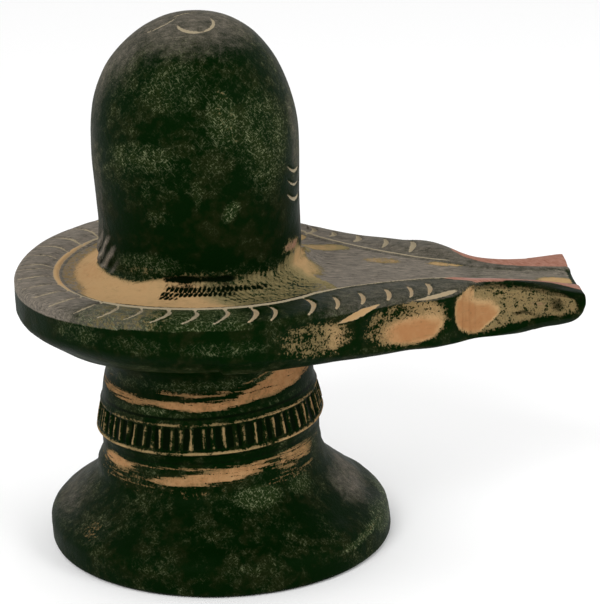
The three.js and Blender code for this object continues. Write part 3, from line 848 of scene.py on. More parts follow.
def wall_panels(s):
    """Worn, scooped panels on both sides of the spout, parted by dark bars, with leaf-shaped cuts above."""
    side = s.of(WALL, UNDER) & (s.x > 15)
    first = s.panel(35.5, 80.4, 10.2, 5.6, edge=0.36, lean=-0.04)
    second = s.panel(62.2, 80.5, 12.4, 7.0, edge=0.2, lean=0.07)
    third = third_panel(s)
    leaf_one = s.panel(48.4, 85.7, 6.0, 1.2, power=1.5, edge=0.4, lean=0.33)
    leaf_two = s.panel(71.4, 88.0, 7.4, 0.85, power=1.5, edge=0.4, lean=0.04)
    strip = span(s.x, 76.6, 78, 82.2, 83.2) * third
    flutes = np.cos((s.x - 78.6) * TAU / 2.1)
    s.depth -= side * (0.9 * first + 1.15 * second + 1.15 * third + 0.8 * np.maximum(leaf_one, leaf_two))
    s.depth += side * strip * (0.35 + 0.3 * flutes)
    smooth = s.panel(65.0, 77.4, 8.0, 3.8, edge=0.6)
    # The third panel is smooth below a slanting, ragged edge, and mottled beyond it.
    slant = (s.z - 70.5) - 1.15 * (s.x - 82) + 1.5 * s.small
    smooth_top = 83.4 - 0.45 * (s.x - 83) + 0.7 * s.small
    smooth_third = side * ease(slant, -0.6, 0.7) * ease(s.z - smooth_top, 2.2, -2.2) * ease(s.x, 92, 88)
    s.paint("wear", side * first * (0.47 + 0.2 * ease(s.x, 35, 42)))
    s.paint("wear", side * second * (0.46 + 0.2 * ease(s.x, 58, 72) + 0.7 * smooth))
    s.paint("wear", side * third * (0.64 + 0.5 * smooth_third))
    s.paint("wear", side * strip * (0.96 + 0.12 * flutes + 0.16 * s.small))
    warm = 0.2 + 0.3 * first * ease(s.x, 36, 43) + 0.3 * second + 0.36 * smooth + 0.62 * third * smooth_third
    for amount in (warm, 0.62 * strip, 0.75 * leaf_one, 0.25 * leaf_two):
        s.paint("warm", side * amount)
    s.paint("cut", side * leaf_one)
    s.paint("cut", side * leaf_two * 0.9)
    s.paint("red", side * third * s.panel(100.5, 83.2, 3.6, 0.9, edge=0.6, lean=0.15) * 0.42)
    crack = np.abs(s.z - (78.0 + 0.2 * (s.x - 90) + 1.1 * s.small))
    for amount in (
        1.6 * second * (1 - second) * ease(s.x, 56, 74),
        1.6 * third * (1 - third) * ease(s.x, 80, 90),
        third * s.panel(105, 84.0, 4.6, 2.6, edge=0.8) * (0.34 + 0.34 * s.small),
        third * ease(s.x, 91, 95) * ease(crack, 1.1, 0.2) * (0.55 + 0.36 * s.broad),
        third * bump(slant, -0.9, 1.1) * ease(s.z, 80, 78) * (0.5 + 0.3 * s.broad),
        third * ease(s.x, 92, 98) * ease(s.z, 78.6, 77.0) * (0.38 + 0.3 * s.small),
    ):
        s.paint("pit_and_shade", side * amount)
    s.add("net", side * 0.25 * (0.5 + 0.5 * s.small))


WALL_PATCHES = (
    ("net", -126, 83.5, 9, 3.4, 0.5), ("net", -106, 82.0, 11, 2.8, 0.36), ("net", -80, 81.0, 13, 2.4, 0.55),
)


def wall_wear(s):
    """Netted patches on the round wall, and a dull, netted underside."""
    s.paint_patches(s.of(WALL, UNDER) & (s.x < 30), WALL_PATCHES)
    s.paint("film", s.of(UNDER) * 0.08)
    s.paint("net", s.of(UNDER) * 0.5 * (0.6 + 0.4 * s.broad))


RIM_PATCHES = (
    ("net", -112, DISH_TOP, 13, 9, 1.25), ("film", -115, DISH_TOP, 14, 9, 0.5),
    ("wear", -110, DISH_TOP, 15, 9, 0.43), ("net", -86, DISH_TOP, 14, 9, 0.75),
)
# Along the spout: how far from the raised line the red starts on the far lip, how far it reaches on the
# near one, and how strong it is there.
RED_FROM = ((72, 9.5), (76, 5.6), (80, 3.0), (85, 1.6), (91, 0.9), (100, 0.5), (112, -0.2))
RED_REACH = ((71, 0.2), (76, 1.8), (83, 4.6), (91, 3.4), (98, 2.2), (105, 2.5), (112, 5.6))
RED_STRENGTH = ((73, 0.62), (82, 1.0), (96, 0.7), (108, 0.85))


def rim_band(s):
    """Grey-brown at the back, partly painted sheen, near-black green in front with a painted grey sheen
    along the spout, and red-brown lips along the spout, the near one with a painted highlight.
    """
    top = s.of(TOP) | (s.of(WALL) & (s.z > DISH_TOP - 2.4))
    near = s.y < 0
    beyond = 1.3 * np.maximum(~near * ease(s.x, 8, 26), ease(s.x, -14, -36))
    outside = top * ease(s.line + beyond, -0.6, 0.4)
    # The grey-brown at the back and left is partly a dry film and partly painted sheen where the rim faces
    # the sky.
    back = np.where(near, ease(s.fold, -112, -140), ease(s.x, 70, 20) * 0.35 + 0.65)
    s.paint("film", outside * back * 0.95)
    s.paint("net", outside * 0.25)
    lip = ease(s.x, 73, 79)
    grain = np.sin(s.x * 1.1 + s.y * 2.9 + 1.5 * s.small)
    red = ease(s.line - follow(s.x, RED_FROM), -0.5, 1.2) * (0.92 + 0.08 * grain)
    s.paint("red", top * lip * ~near * red)
    outside = outside * near
    # Painted grey sheen on the near rim along the spout.
    s.paint("film", outside * span(s.x, 24, 50, 80, 94) * 0.46)
    s.paint_patches(outside, RIM_PATCHES)
    past = s.line - follow(s.x, RED_REACH)
    s.paint("red", outside * ease(s.x, 70, 73) * ease(past, 0.3, -0.6) * follow(s.x, RED_STRENGTH))
    # Painted pinkish highlight along the top of the near red lip.
    s.paint("red_highlight", outside * bump(s.x, 84, 8) * bump(s.line, 0.8, 2.2) * 0.75)
    s.paint("pit_and_shade", outside * ease(s.x, 76, 84) * ease(past, 0, 0.8) * 0.5)
    s.paint("pit_and_shade", outside * ease(s.x, 90, 98) * ease(past, 0.3, -0.6) * 0.34)
    raised_line(s, near, lip)


def raised_line(s, near, lip):
    """The thin line inside the rim band, rubbed pale, with painted shadow in the groove within it in front.
    """
    left = ease(s.x, -34, -44)
    front = near * span(s.x, -34, -22, 34, 46)
    off_line = np.abs(s.line - 0.1 - 0.1 * left - 0.2 * front)
    bead = edge_mask(0.42 + 0.55 * left + 0.36 * front - off_line) * s.of(TOP) * (1 - lip)
    s.paint("cut", bead)
    s.paint("warm", bead * (0.2 + 0.5 * left))
    # Painted shadow in the groove inside the line, in front.
    groove = s.of(TOP) * (s.y < -25) * span(s.line, -3.1, -2.5, -1.3, -0.9) * span(s.x, -30, -16, 30, 44)
    s.paint("pit_and_shade", groove * (0.95 + 0.35 * s.small))


# Broad ovals rubbed to tan in the channel: x, y, half lengths and strength.
CHANNEL_TANS = ((54.5, 7.4, 6.5, 2.8, 0.66), (74.5, 6.6, 6.5, 1.6, 1.0), (108, -2.0, 6.5, 3.2, 1.1))
# Rows of dashes: distance out from the first, first and last direction in degrees, shift of the dashes.
SCORE_ROWS = ((0.0, -107, -44, 0.0), (1.5, -109, -64, 2.2), (2.9, -109, -93, 4.1))
FIRST_SCORE_ROW = ((-107, 32.3), (-95, 32.3), (-80, 32.2), (-66, 32.4), (-50, 33.0))  # direction, radius


def hollow_floor(s):
    """The hollow round the pillar, rubbed to smooth tan clay, with an olive-streaked part in front."""
    on = s.of(TOP, PILLAR) & (s.z < 99)
    climb = 93.9 - 2.5 * ease(np.abs(s.az), 98, 128) + 2.2 * s.facing(-18, 26)
    inside = on * ease(s.line, -0.9, -1.9) * ease(s.z - climb, 0.9, -0.9)
    channel_from = 26.5 + 8.5 * ease(s.y, -9, -18)
    round_part = inside * (s.x < channel_from + 3.5 + 4 * s.small)
    s.paint("wear", round_part * 1.15)
    s.paint("warm", round_part * (0.42 + 0.2 * s.broad + 0.06 * s.small))
    grey = inside * ease(s.x, -30, -36) * ease(s.r, 36.5, 40)
    s.add("wear", -0.62 * grey)
    s.paint("film", grey * 0.9)
    brushed = inside * s.oval(24.5, -27.5, 22, 14.5, edge=0.3)
    strokes = 0.6 * np.sin(s.x * 1.7 + s.y * 3.8 + 2.6 * s.small)
    strokes += 0.4 * np.sin(s.x * 0.9 - s.y * 2.9 + 3 * s.broad)
    s.add("wear", brushed * (-0.56 + 0.26 * strokes))
    s.add("warm", -0.6 * brushed)
    s.paint("net", brushed * (0.7 + 0.35 * strokes))
    far_patch = inside * s.oval(37, 18.6, 8.0, 3.0)
    patch = np.maximum(inside * s.oval(30.5, -6, 6.8, 6.6, edge=0.55), far_patch)
    s.paint("wear", patch * 0.9 + far_patch * (0.3 + 0.16 * s.small))
    s.paint("warm", patch * 0.4)
    s.paint("red_highlight", far_patch * 0.5)
    s.add("warm", -0.12 * inside * ease(s.x, 12, 30))
    drain_channel(s, inside, channel_from)
    score_marks(s, inside)


def drain_channel(s, inside, channel_from):
    """The channel's floor: grey-brown, partly a film and partly painted sheen, with tan ovals rubbed through
    it, and a painted shadow line under the far rim.
    """
    channel = inside * ease(s.x - channel_from, -3.5, 3.5)
    # Grey-brown over the channel: partly a film, partly painted sheen.
    s.paint("film", channel * (0.95 - 0.3 * ease(s.x, 74, 84)))
    s.add("warm", -0.15 * inside * ease(s.x, 36, 44))
    for x, y, half_x, half_y, strength in CHANNEL_TANS:
        tan = channel * s.oval(x, y, half_x, half_y)
        s.paint("wear", tan * strength * (1.0 + 0.25 * s.small))
        s.paint("warm", tan * 0.36)
    s.paint("net", channel * ease(s.x, 78, 86) * 0.9)
    s.add("film", channel * ease(s.x, 80, 90) * 0.16)
    # Painted shadow line under the far rim.
    s.paint("pit_and_shade", channel * bump(s.line, -0.9, 0.8) * ease(s.x, 70, 78) * (s.y > 0))


def score_marks(s, inside):
    """Rows of short scored dashes on the floor at the pillar's foot."""
    inner = follow(s.az, FIRST_SCORE_ROW)
    slanted = np.radians(s.az) * 34 + 0.45 * s.r
    for away, first, last, shift in SCORE_ROWS:
        row = bump(s.r, inner + away, 1.35) * span(s.az, first, first + 2.5, last - 10, last)
        teeth = ease(np.sin(slanted * TAU / 1.45 + shift), -0.5, 0.5)
        s.paint("pit_and_shade", inside * row * (0.5 + 0.66 * teeth))
        s.depth -= inside * 0.3 * row * teeth


PILLAR_FOOT_PATCHES = (
    ("net", -118, 96.5, 24, 3.4, 0.72), ("wear", -122, 95, 13, 1.3, 0.46), ("wear", -90, 94.4, 34, 1.1, 0.3),
)
# Lumps of clay at the pillar's foot: turn, height, their reach in each, and how far they stand out.
PILLAR_FOOT_LUMPS = ((-163, 92.8, 7, 3.2, 1.5), (-170, 96.5, 5, 4.5, 0.9), (-152, 98, 5, 4, 0.6))


def pillar_foot(s):
    """A dark seam where the pillar meets the floor, and twisted lumps of clay beside it."""
    on = s.of(PILLAR, TOP) & (s.z > 88.5) & (s.r < 34.5)
    climb = s.z + 0.9 * (s.r - PILLAR_RADIUS)
    close = ease(s.r, 33.0, 32.0)
    seam = close * span(s.az, -113, -105, -74, -60)
    s.depth -= on * 0.5 * close * bump(climb, 92.5, 1.35) * (0.35 + 0.65 * seam)
    s.paint("pit_and_shade", on * seam * bump(climb, 92.4, 1.75) * (1.05 + 0.4 * s.small))
    s.paint("net", on * ease(s.z, 99, 94) * 0.4)
    s.paint_patches(on, PILLAR_FOOT_PATCHES)
    near = s.az < 0
    twist = np.sin(np.radians(s.az) * 34 - s.z * 1.15)
    for turn, height, turn_reach, reach, out in PILLAR_FOOT_LUMPS:
        lump = near * out * np.exp(-(((s.az - turn) / turn_reach) ** 2 + ((s.z - height) / reach) ** 2))
        s.depth += on * lump * (1 + 0.22 * twist)
    lumps = on * near * s.patch(-157, 97.0, 16, 6.4)
    s.paint("film", lumps * (0.4 + 0.5 * twist))
    s.paint("cut", lumps * ease(twist, 0.5, 0.95) * 0.5)
    s.paint("pit_and_shade", lumps * ease(twist, -0.45, -0.95) * 0.7)
    spot = s.of(PILLAR) * near * s.patch(-22, 97.3, 11, 1.6)
    s.paint("wear", spot * 0.7)
    s.paint("red", spot * 0.5)
    clay_smear(s)


def clay_smear(s):
    """A smear of clay from the pillar's foot into the channel."""
    rising = ease(s.y, -1, 3)
    gap = np.abs(s.x - 31.8 - 0.16 * (s.y - 7)) * rising + 9 * (1 - rising)
    smear = s.of(TOP) * ease(gap, 1.5, 0.1) * bump(s.y, 6.5, 7)
    s.depth += smear
    s.paint("wear", smear * 1.1)


FOREHEAD_ASIDE = -14.4  # degrees from the spout's direction to the crescents' middle
FOREHEAD = ((116.4, 0.95, 0.42), (112.3, 0.75, 0), (107.6, 1.15, 0))  # height, thickness and pinkness


def forehead(s):
    """Three stacked crescents (the tripundra) on the side that faces the spout."""
    on = s.of(PILLAR) & (np.abs(s.z - 112) < 12) & (s.x > 0)
    across = np.radians(s.az - FOREHEAD_ASIDE) * PILLAR_RADIUS
    for height, thick, pink in FOREHEAD:
        inside = crescent(height - s.z - 0.22 * across, across, 12.0, thick, 12.8)
        s.depth -= on * 0.6 * ease(inside, -0.4, 0.4)
        s.paint("cut", on * edge_mask(inside))
        s.paint("red", on * edge_mask(inside) * pink)
    s.paint("red", s.of(PILLAR) * bump(s.az, -16, 9) * span(s.z, 116, 119, 122, 131) * 0.36)
    # Painted grey sheen on the pillar's right side above the crescents.
    s.paint("film", s.of(PILLAR) * bump(s.az, -12, 16) * span(s.z, 112, 122, 134, 148) * 0.42)


# Arcs on the crown: centre, radius, direction of the middle and half turn in degrees, half thickness,
# depth, how far inside the depth is full, and strength.
CROWN_ARCS = (
    ((2.4, -7.4), 5.5, -116, 50, 0.55, 0.5, 0.4, 1.0),
    ((2.4, -7.4), 5.5, -18, 54, 0.475, 0.5, 0.4, 1.0),
    ((-9.5, -1.2), 6.7, -74, 52, 0.34, 0.25, 0.3, 0.92),
    ((1.0, -6.6), 6.2, 112, 42, 0.34, 0.25, 0.3, 0.92),
)


def crown(s):
    """A broken ring of two crescents on the crown, with two faint arcs beside it."""
    on = s.of(PILLAR) & (s.z > 155)
    for (x, y), radius, middle, half_turn, thick, depth, full, strength in CROWN_ARCS:
        turn = turned_from(np.degrees(np.arctan2(s.y - y, s.x - x)), middle)
        half = thick * np.sqrt(np.clip(1 - (turn / half_turn) ** 2, 0, 1))
        off = np.abs(np.hypot(s.x - x, s.y - y) - radius)
        inside = np.where(np.abs(turn) < half_turn, half - off, -9)
        s.depth -= on * depth * ease(inside, -0.4, full)
        s.paint("cut", on * edge_mask(inside) * strength)


PILLAR_PATCHES = (
    ("net", -98, 149, 24, 8, 0.52), ("net", -118, 129, 24, 5, 0.66), ("net", -44, 131, 20, 17, 0.6),
    ("net", -68, 111.5, 5, 2.8, 0.9, 0.3), ("net", -108, 111, 9, 3, 0.36),
    ("net", -115, 119.5, 3.4, 3, 0.5), ("net", -86, 118, 2.4, 4.5, 0.5),
)
DOME_PATCHES = (("net", -69, 139, 11, 9, 0.7), ("wear", -69, 139, 10, 9, 0.21))


def pillar_wear(s):
    """A net of strokes that thickens up the pillar, and a grey layer on the crown, the back and the right
    that is partly film and partly painted sheen.
    """
    on = s.of(PILLAR)
    high = ease(s.z, 104, 124)
    s.paint("net", on * (-0.1 + 0.36 * high))
    s.paint_patches(on, PILLAR_PATCHES)
    s.add("net", on * high * 0.16 * s.broad)
    s.paint_patches(on, DOME_PATCHES)
    # Painted grey sheen, with some film, at the left edge, the crown and the right edge.
    s.paint("film", on * ease(s.fold, -138, -168) * (0.46 + 0.2 * s.broad))
    s.paint("film", on * ease(s.z, 150, 164) * 0.56)
    s.paint("film", on * ease(s.z, 138, 158) * ease(s.fold, -112, -150) * 0.5)
    s.paint("film", on * ease(s.fold, -20, -2) * (0.26 + 0.14 * s.broad))


GOUGE_STEP = 8.7
GOUGE_COUNT = {-1: 19, 1: 18}  # on the near side and on the far side
# The strokes aren't evenly spaced: by how much they are shifted, at places along the rim from the back.
STROKE_SHIFT_AT = (30, 46, 55, 64, 73, 82, 90, 99, 107.6, 116, 125, 134, 142, 151, 160)
STROKE_SHIFT = {
    -1: (0, 1.6, 2.6, 1.5, 1.2, 1.4, 0.9, 1.5, -1.4, 2.4, 2.2, 1.7, 2.0, 1.1, -1.5),
    1: (0, 0.6, 1.0, 0.4, 0, 0.5, 0, 0.6, 0.8, 2.5, 0.6, 1.1, 2.8, 3.4, 1.0),
}
GOUGE_DEPTH = 0.85
RIM_BEND = math.radians(128)  # the rim band is round up to here from the back
RIM_START = np.array([31.5, 40.3])  # and straight between these two points
RIM_END = np.array([71.0, 16.6])


def gouge_place(along, side):
    """Where a place along the rim band's middle lies, and which way the band runs there."""
    middle = (DISH_RADIUS + RING_RADIUS) / 2
    turn = along / middle
    if turn <= RIM_BEND:
        az = math.pi - turn
        return (middle * math.cos(az), side * middle * math.sin(az)), side * (az - math.pi / 2)
    start, end = RIM_START * (1, side), RIM_END * (1, side)
    way = end - start
    at = start + way * (along - RIM_BEND * middle) / math.hypot(*way)
    return tuple(at), math.atan2(way[1], way[0])


def gouge(x, y, side, number):
    """Millimetres inside one stroke, negative outside. Strokes are numbered from the back."""
    far = side > 0
    along = GOUGE_STEP * (number + 0.26) + (0 if far else 0.9)
    along += float(np.interp(along, STROKE_SHIFT_AT, STROKE_SHIFT[side]))
    (cx, cy), heading = gouge_place(along, side)
    u = (x - cx) * math.cos(heading) + (y - cy) * math.sin(heading)
    v = (y - cy) * math.cos(heading) - (x - cx) * math.sin(heading)
    front = float(ease(along, 52, 92))
    wave = math.sin(number * 2.4 + side)
    u = u + 0.5 * front * side * v + 0.3 * wave
    v = v + (1.9 if far else 0.7) * front + 0.4 * wave
    long = (13.4 if number < 14 else 9.4) * (1 + 0.06 * math.sin(number * 5.1))
    thick = (1.25 + 0.25 * front) * (1 + 0.14 * math.sin(number * 3.7 + 2 * side)) + 0.5 * front * far
    return crescent(u, v, 20 if number < 6 else 9.2, thick, long)


def rim_gouges(s):
    """Slanting strokes pressed into the rim band on both sides of the dish."""
    index = np.flatnonzero(s.of(TOP, WALL) & (s.z > DISH_TOP - 3))
    x, y = s.x[index], s.y[index]
    edge = np.where(x > 30, spout_half_width(x) - np.abs(y), DISH_RADIUS - s.r[index])
    strokes = [gouge(x, y, side, i) for side, count in GOUGE_COUNT.items() for i in range(count)]
    cut = np.minimum(np.max(strokes, axis=0), edge - 0.9)
    s.depth[index] -= GOUGE_DEPTH * ease(cut, -0.45, 0.5) * ease(edge, 0.8, 3.0)
    tan = edge_mask(cut)
    warm = (0.12 + 0.2 * (y < 0)) * (tan > 0.2) * (x > 10)
    for name, amount in (("cut", tan), ("warm", warm)):
        s.mask[name][index] = np.maximum(s.mask[name][index], amount)


MARKS = (
    hand_unevenness, base_marks, waist_bands, neck_bands, collar_ribs, wall_panels, wall_wear, rim_band,
    hollow_floor, pillar_wear, pillar_foot, forehead, crown, rim_gouges,
)


def corner_normals(p, faces):
    """Normals at the points, from the faces round them."""
    tri = np.array([(f[0], f[k], f[k + 1]) for f in faces for k in range(1, len(f) - 1)])
    a, b, c = p[tri.T]
    face = np.cross(b - a, c - a)
    total = np.zeros_like(p)
    for corner in tri.T:
        for axis in range(3):
            total[:, axis] += np.bincount(corner, face[:, axis], len(p))
    return total / np.maximum(np.linalg.norm(total, axis=1), 1e-9)[:, None]


# ---- Materials -------------------------------------------------------------------------------------
def linear(*screen):
    """A colour given as 0-255 screen values."""
    shares = [v / 255 for v in screen]
    return (*(v / 12.92 if v <= 0.04045 else ((v + 0.055) / 1.055) ** 2.4 for v in shares), 1.0)


SLIP = linear(2, 19, 1)
SLIP_BROWN = linear(18, 24, 6)
NET = linear(126, 132, 98)
HAZE = linear(40, 54, 24)
# Grey-brown of the dry film, also used as painted sheen where edges and tops catch the sky.
DUST_AND_SHEEN = linear(104, 97, 88)
DUST_AND_SHEEN_PALE = linear(133, 123, 110)
CLAY_GRIMY = linear(84, 76, 48)
CLAY_DULL = linear(124, 112, 78)
CLAY = linear(170, 138, 97)
# Orange clay, set darker than the lit clay as painted shade for the neck under the dish.
CLAY_ORANGE_SHADED = linear(151, 107, 69)
CUT_PALE = linear(150, 138, 114)
RED_DARK = linear(96, 58, 46)
RED_RIM = linear(136, 93, 77)
RED_PALE = linear(154, 114, 99)
# Pinkish painted highlight on the near red lip.
RED_HIGHLIGHT = linear(166, 128, 118)
# Near-black for dark pits and for painted shade in grooves, under edges and under the collar.
PIT_AND_SHADE_BLACK = linear(3, 10, 1)
PAPER = (0.97, 0.97, 0.97, 1)
SHINE_TINT = (0.6, 0.9, 0.5, 1)


class Wiring:
    """Short ways to add and join the nodes of a material or a world."""

    def __init__(self, owner, shader="Principled BSDF"):
        owner.use_nodes = True
        self.tree = owner.node_tree
        self.shader = self.tree.nodes[shader]

    def put(self, socket, value):
        if isinstance(value, bpy.types.NodeSocket):
            self.tree.links.new(value, socket)
        else:
            socket.default_value = value

    def new(self, kind):
        return self.tree.nodes.new("ShaderNode" + kind)

    def feed(self, node, *values, **named):
        """Sets or joins a node's inputs, by place or by name. Returns its first output."""
        for socket, value in (*enumerate(values), *named.items()):
            self.put(node.inputs[socket], value)
        return node.outputs[0]

    def attribute(self, name):
        node = self.new("Attribute")
        node.attribute_name = name
        return node.outputs["Fac"]

    def vector_maths(self, operation, *values):
        node = self.new("VectorMath")
        node.operation = operation
        return self.feed(node, *values)

    def place(self, scale=(1, 1, 1), turn=(0, 0, 0)):
        """Object coordinates in millimetres, turned and then stretched."""
        turned = self.new("VectorRotate")
        turned.rotation_type = "EULER_XYZ"
        at = self.feed(turned, Vector=self.new("TexCoord").outputs["Object"], Rotation=turn)
        return self.vector_maths("MULTIPLY", at, [s / MM for s in scale])

    def cell_edges(self, size, wander):
        """Distance to the edges of cells `size` mm across, their edges made to wander."""
        shift = self.new("TexNoise")
        self.feed(shift, Vector=self.place(), Scale=1 / size)
        at = self.vector_maths("MULTIPLY_ADD", shift.outputs["Color"], [wander] * 3, self.place())
        cells = self.new("TexVoronoi")
        cells.feature = "DISTANCE_TO_EDGE"
        return self.feed(cells, Vector=at, Scale=1 / size)

    def noise(self, size, detail=3.0, rough=0.55, twist=0.0, stretch=(1, 1, 1), turn=(0, 0, 0)):
        at = self.place(stretch, turn)
        node = self.new("TexNoise")
        return self.feed(node, Vector=at, Scale=1 / size, Detail=detail, Roughness=rough, Distortion=twist)

    def maths(self, operation, a, b, clamp=False):
        node = self.new("Math")
        node.operation = operation
        node.use_clamp = clamp
        return self.feed(node, a, b)

    def times(self, a, b, clamp=False):
        return self.maths("MULTIPLY", a, b, clamp)

    def larger(self, a, b):
        return self.maths("MAXIMUM", a, b)

    def vary(self, value, *noises):
        """A value with noises added, each given with its amount and centred on 0."""
        for noise, amount in noises:
            value = self.maths("ADD", value, self.times(self.maths("SUBTRACT", noise, 0.5), amount))
        return value

    def step(self, value, low, high, to_low=0.0, to_high=1.0):
        """A smooth change between two numbers while the value goes from low to high."""
        node = self.new("MapRange")
        node.interpolation_type = "SMOOTHSTEP"
        return self.feed(node, value, low, high, to_low, to_high)

    def mix(self, share, a, b):
        node = self.new("Mix")
        node.data_type = "RGBA"
        for socket, value in ((0, share), (6, a), (7, b)):
            self.put(node.inputs[socket], value)
        return node.outputs[2]


def clay_noises(w):
    """The noises that more than one part of the clay's look uses."""
    return {
        "fine": w.noise(0.42, detail=3),
        "speck": w.noise(0.8, detail=4, rough=0.65),
        "middle": w.noise(2.4, detail=4),
        "broad": w.noise(9, detail=3),
        "streak": w.noise(1.3, detail=5, rough=0.68, stretch=(0.13, 0.13, 1.9)),
        "hair": w.noise(0.75, detail=5, rough=0.7, twist=0.6, stretch=(0.22, 1.0, 1.0)),
    }


def bare_share(w, mask, noise):
    """Where the clay is bare: rubbed through by speckle and by turned streaks."""
    wear, rub, speck, fine = mask["wear"], mask["rub"], noise["speck"], noise["fine"]
    by_speck = w.step(w.vary(wear, (speck, 1.7), (noise["middle"], 1.0), (fine, 0.5)), 0.37, 0.68)
    by_streak = w.step(w.vary(rub, (noise["streak"], 2.5), (speck, 1.3), (fine, 0.5)), 0.42, 0.6)
    return w.larger(w.times(by_speck, w.step(wear, 0.04, 0.16)), w.times(by_streak, w.step(rub, 0.04, 0.2)))


def slip_colour(w, mask, noise):
    """Near-black green slip, with a haze and a net of thin pale strokes in it."""
    speck, middle, broad = noise["speck"], noise["middle"], noise["broad"]
    threads = w.times(w.step(w.cell_edges(1.1, 1.0), 0.0, 0.14, 1.0, 0.0), w.step(speck, 0.47, 0.62))
    hatch, cross_hatch = (
        w.noise(0.6, detail=3, rough=0.6, stretch=(1.5, 0.6, 0.3), turn=(0, math.radians(degrees), 0))
        for degrees in (38, -50)
    )
    hatched = w.larger(w.step(hatch, 0.6, 0.68), w.step(cross_hatch, 0.61, 0.69))
    strokes = w.larger(w.times(threads, 0.7), w.times(hatched, 0.9))
    level = w.vary(mask["net"], (middle, 1.1), (broad, 0.9))
    netted = w.times(strokes, w.step(level, 0.05, 1.1, 0.0, 0.85), clamp=True)
    slip = w.mix(w.step(w.vary(broad, (middle, 0.6)), 0.42, 0.7), SLIP, SLIP_BROWN)
    return w.mix(netted, w.mix(w.step(level, 0.15, 1.1, 0.0, 0.42), slip, HAZE), NET)


def dust_and_sheen_colour(w, noise):
    """A grey-brown dry film, also standing in as painted sheen, brushed on in hair-thin strokes."""
    dust = w.mix(w.step(noise["hair"], 0.48, 0.68), DUST_AND_SHEEN, DUST_AND_SHEEN_PALE)
    return w.mix(w.step(noise["hair"], 0.47, 0.31, 0.0, 0.68), dust, SLIP_BROWN)


def clay_colour(w, mask, noise):
    """Bare clay, from dull to a darker orange that carries painted shade, and grimy where it is hardly
    rubbed through.
    """
    warm, middle = mask["warm"], noise["middle"]
    clay = w.mix(w.step(w.vary(warm, (middle, 0.5)), 0.0, 0.5), CLAY_DULL, CLAY)
    clay = w.mix(w.step(w.vary(warm, (middle, 0.4)), 0.45, 0.9), clay, CLAY_ORANGE_SHADED)
    unsure = w.maths("SUBTRACT", 1.16, w.larger(mask["wear"], mask["rub"]))
    grime = w.step(w.vary(unsure, (noise["speck"], 1.6), (middle, 0.9)), 0.15, 0.9, 0.0, 0.75)
    tint = w.step(w.vary(noise["streak"], (noise["hair"], 0.7)), 0.54, 0.8, 0.0, 0.35)
    return w.mix(tint, w.mix(grime, clay, CLAY_GRIMY), CLAY_GRIMY)


def red_colour(w, mask):
    """Red-brown paint in slanting brush strokes, with a painted pinkish highlight where its mask says."""
    brushed = w.noise(0.8, detail=4, rough=0.6, stretch=(0.35, 1.5, 0.8), turn=(0, 0, math.radians(25)))
    paint = w.mix(w.step(brushed, 0.36, 0.7), RED_RIM, RED_PALE)
    paint = w.mix(w.step(brushed, 0.44, 0.26, 0.0, 0.6), paint, RED_DARK)
    return w.mix(mask["red_highlight"], paint, RED_HIGHLIGHT)


def slipped_clay():
    """Near-black green slip over terracotta, rubbed through where the masks say."""
    material = bpy.data.materials.new("slipped_clay")
    w = Wiring(material)
    mask = {name: w.attribute(name) for name in MASKS}
    noise = clay_noises(w)
    fine, speck, middle = noise["fine"], noise["speck"], noise["middle"]
    bare = bare_share(w, mask, noise)
    # Share of the grey-brown layer: dry film in places, painted sheen on edges and tops elsewhere.
    dust_and_sheen_share = w.step(w.vary(mask["film"], (middle, 0.5), (fine, 0.5)), 0.12, 1.0)
    painted = w.step(w.vary(mask["red"], (speck, 0.4), (middle, 0.3)), 0.34, 0.64)
    cut = w.step(w.vary(mask["cut"], (speck, 0.45), (middle, 0.2)), 0.42, 0.6)
    pressed = w.mix(w.step(w.vary(mask["warm"], (middle, 0.5)), 0.1, 0.7), CUT_PALE, CLAY)
    # Near-black for pits, and painted shade where the pit mask marks grooves and edges.
    sunk = w.step(w.vary(mask["pit_and_shade"], (speck, 0.9), (middle, 0.3)), 0.3, 0.7)
    colour = slip_colour(w, mask, noise)
    for share, over in (
        (dust_and_sheen_share, dust_and_sheen_colour(w, noise)), (bare, clay_colour(w, mask, noise)),
        (painted, red_colour(w, mask)), (cut, pressed), (sunk, PIT_AND_SHADE_BLACK),
    ):
        colour = w.mix(share, colour, over)
    dull = w.times(w.larger(bare, w.times(dust_and_sheen_share, 0.7)), 0.32)
    rough = w.maths("ADD", w.step(noise["broad"], 0.3, 0.7, 0.44, 0.56), dull, clamp=True)
    bumps = w.new("Bump")
    relief = w.maths("ADD", w.times(middle, 0.5), w.times(speck, 0.4))
    relief = w.maths("SUBTRACT", relief, w.times(bare, 0.16))
    w.feed(bumps, Strength=0.5, Distance=0.5 * MM, Height=relief)
    w.feed(w.shader, **{
        "Base Color": colour, "Roughness": rough, "IOR": 1.09, "Specular Tint": SHINE_TINT,
        "Normal": bumps.outputs["Normal"],
    })
    return material


# ---- The piece -------------------------------------------------------------------------------------
NET_LOWEST = -0.5  # the net's mask may fall below 0, which thins its strokes
MASK_HIGHEST = 1.4


def add_object(name, data):
    made = bpy.data.objects.new(name, data)
    bpy.context.scene.collection.objects.link(made)
    return made


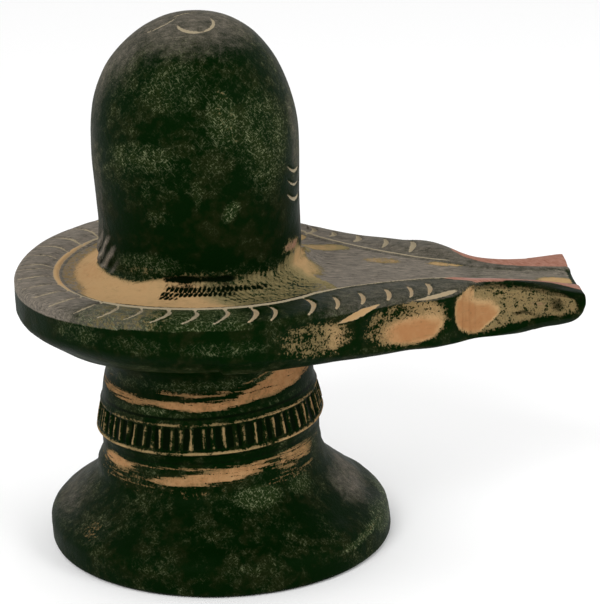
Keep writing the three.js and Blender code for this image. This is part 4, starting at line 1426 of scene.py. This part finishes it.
def make_piece():
    """The whole object, marked, leaned and kept inside the CAD box, with a layer for each mask."""
    p, zones, faces = assemble()
    s = Skin(p, zones)
    for mark in MARKS:
        mark(s)
    sunk = p + corner_normals(p, faces) * s.depth[:, None]
    base = zones == BASE
    sunk[base, 2] = np.maximum(sunk[base, 2], 0)
    flat_foot = base & (p[:, 2] < 0.05)
    sunk[flat_foot] = p[flat_foot]
    low, high = np.array(cad_box) / MM
    placed = np.clip(settle(sunk, zones), low, high)
    mesh = bpy.data.meshes.new("lingam_clay")
    mesh.from_pydata((placed * MM).tolist(), [], [list(map(int, f)) for f in faces])
    for name in MASKS:
        lowest = NET_LOWEST if name == "net" else 0
        amounts = np.clip(s.mask[name], lowest, MASK_HIGHEST).astype(np.float32)
        mesh.attributes.new(name, "FLOAT", "POINT").data.foreach_set("value", amounts)
    mesh.shade_smooth()
    mesh.materials.append(slipped_clay())
    return add_object("lingam_clay", mesh)


piece = make_piece()
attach(piece, "root")
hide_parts(NODE)


# ---- Stage, light and camera (metres) --------------------------------------------------------------
FLOOR_HALF = 3.0
CAMERA_PLACE = (0.05309, -0.75243, 0.3325)
CAMERA_FORWARD = (-0.0337, 0.9454, -0.3242)
CAMERA_UP = (0.0075, 0.3247, 0.9458)
LENS = 154.97
LAMPS = (  # name, place, what it points at, width, height and power
    ("key", (-0.5, -0.9, 0.95), (0, 0, 0.09), 0.7, 0.5, 9),
    ("right", (0.8, -0.55, 0.5), (0.03, 0, 0.09), 0.4, 0.5, 4),
)
SKY_BRIGHT = 1.25
SKY_DIM = 0.35
DIM_SIDE = (0.1, -0.93, 0.35)  # the direction in which the sky is dim, behind the camera


def aimed(place, forward, up):
    """A turn and place that looks along `forward`."""
    forward = Vector(forward).normalized()
    right = forward.cross(Vector(up)).normalized()
    up = right.cross(forward)
    turn = Matrix((right, up, -forward)).transposed()
    return Matrix.Translation(place) @ turn.to_4x4()


def add_floor():
    h = FLOOR_HALF
    mesh = bpy.data.meshes.new("floor")
    mesh.from_pydata([(-h, -h, 0), (h, -h, 0), (h, h, 0), (-h, h, 0)], [], [(0, 1, 2, 3)])
    floor = add_object("floor", mesh)
    paper = bpy.data.materials.new("paper")
    w = Wiring(paper)
    w.feed(w.shader, **{"Base Color": PAPER, "Roughness": 0.95})
    mesh.materials.append(paper)


def add_softbox(name, place, aim, width, height, power):
    data = bpy.data.lights.new(name, "AREA")
    data.shape = "RECTANGLE"
    data.size = width
    data.size_y = height
    data.energy = power
    add_object(name, data).matrix_world = aimed(place, Vector(aim) - Vector(place), (0, 0, 1))


def add_surroundings():
    """White all round, and dimmer behind the camera so that the dark slip stays dark in front."""
    world = bpy.data.worlds.new("studio")
    w = Wiring(world, "Background")
    toward = w.new("VectorMath")
    toward.operation = "DOT_PRODUCT"
    w.feed(toward, w.new("TexCoord").outputs["Generated"], DIM_SIDE)
    strength = w.step(toward.outputs["Value"], -0.1, 0.8, SKY_BRIGHT, SKY_DIM)
    w.feed(w.shader, Color=(1, 1, 1, 1), Strength=strength)
    bpy.context.scene.world = world


def add_camera():
    data = bpy.data.cameras.new("camera")
    data.lens = LENS
    camera = add_object("camera", data)
    camera.matrix_world = aimed(CAMERA_PLACE, CAMERA_FORWARD, CAMERA_UP)
    bpy.context.scene.camera = camera


add_floor()
add_surroundings()
for lamp in LAMPS:
    add_softbox(*lamp)
add_camera()
bpy.context.scene.view_settings.view_transform = "Standard"
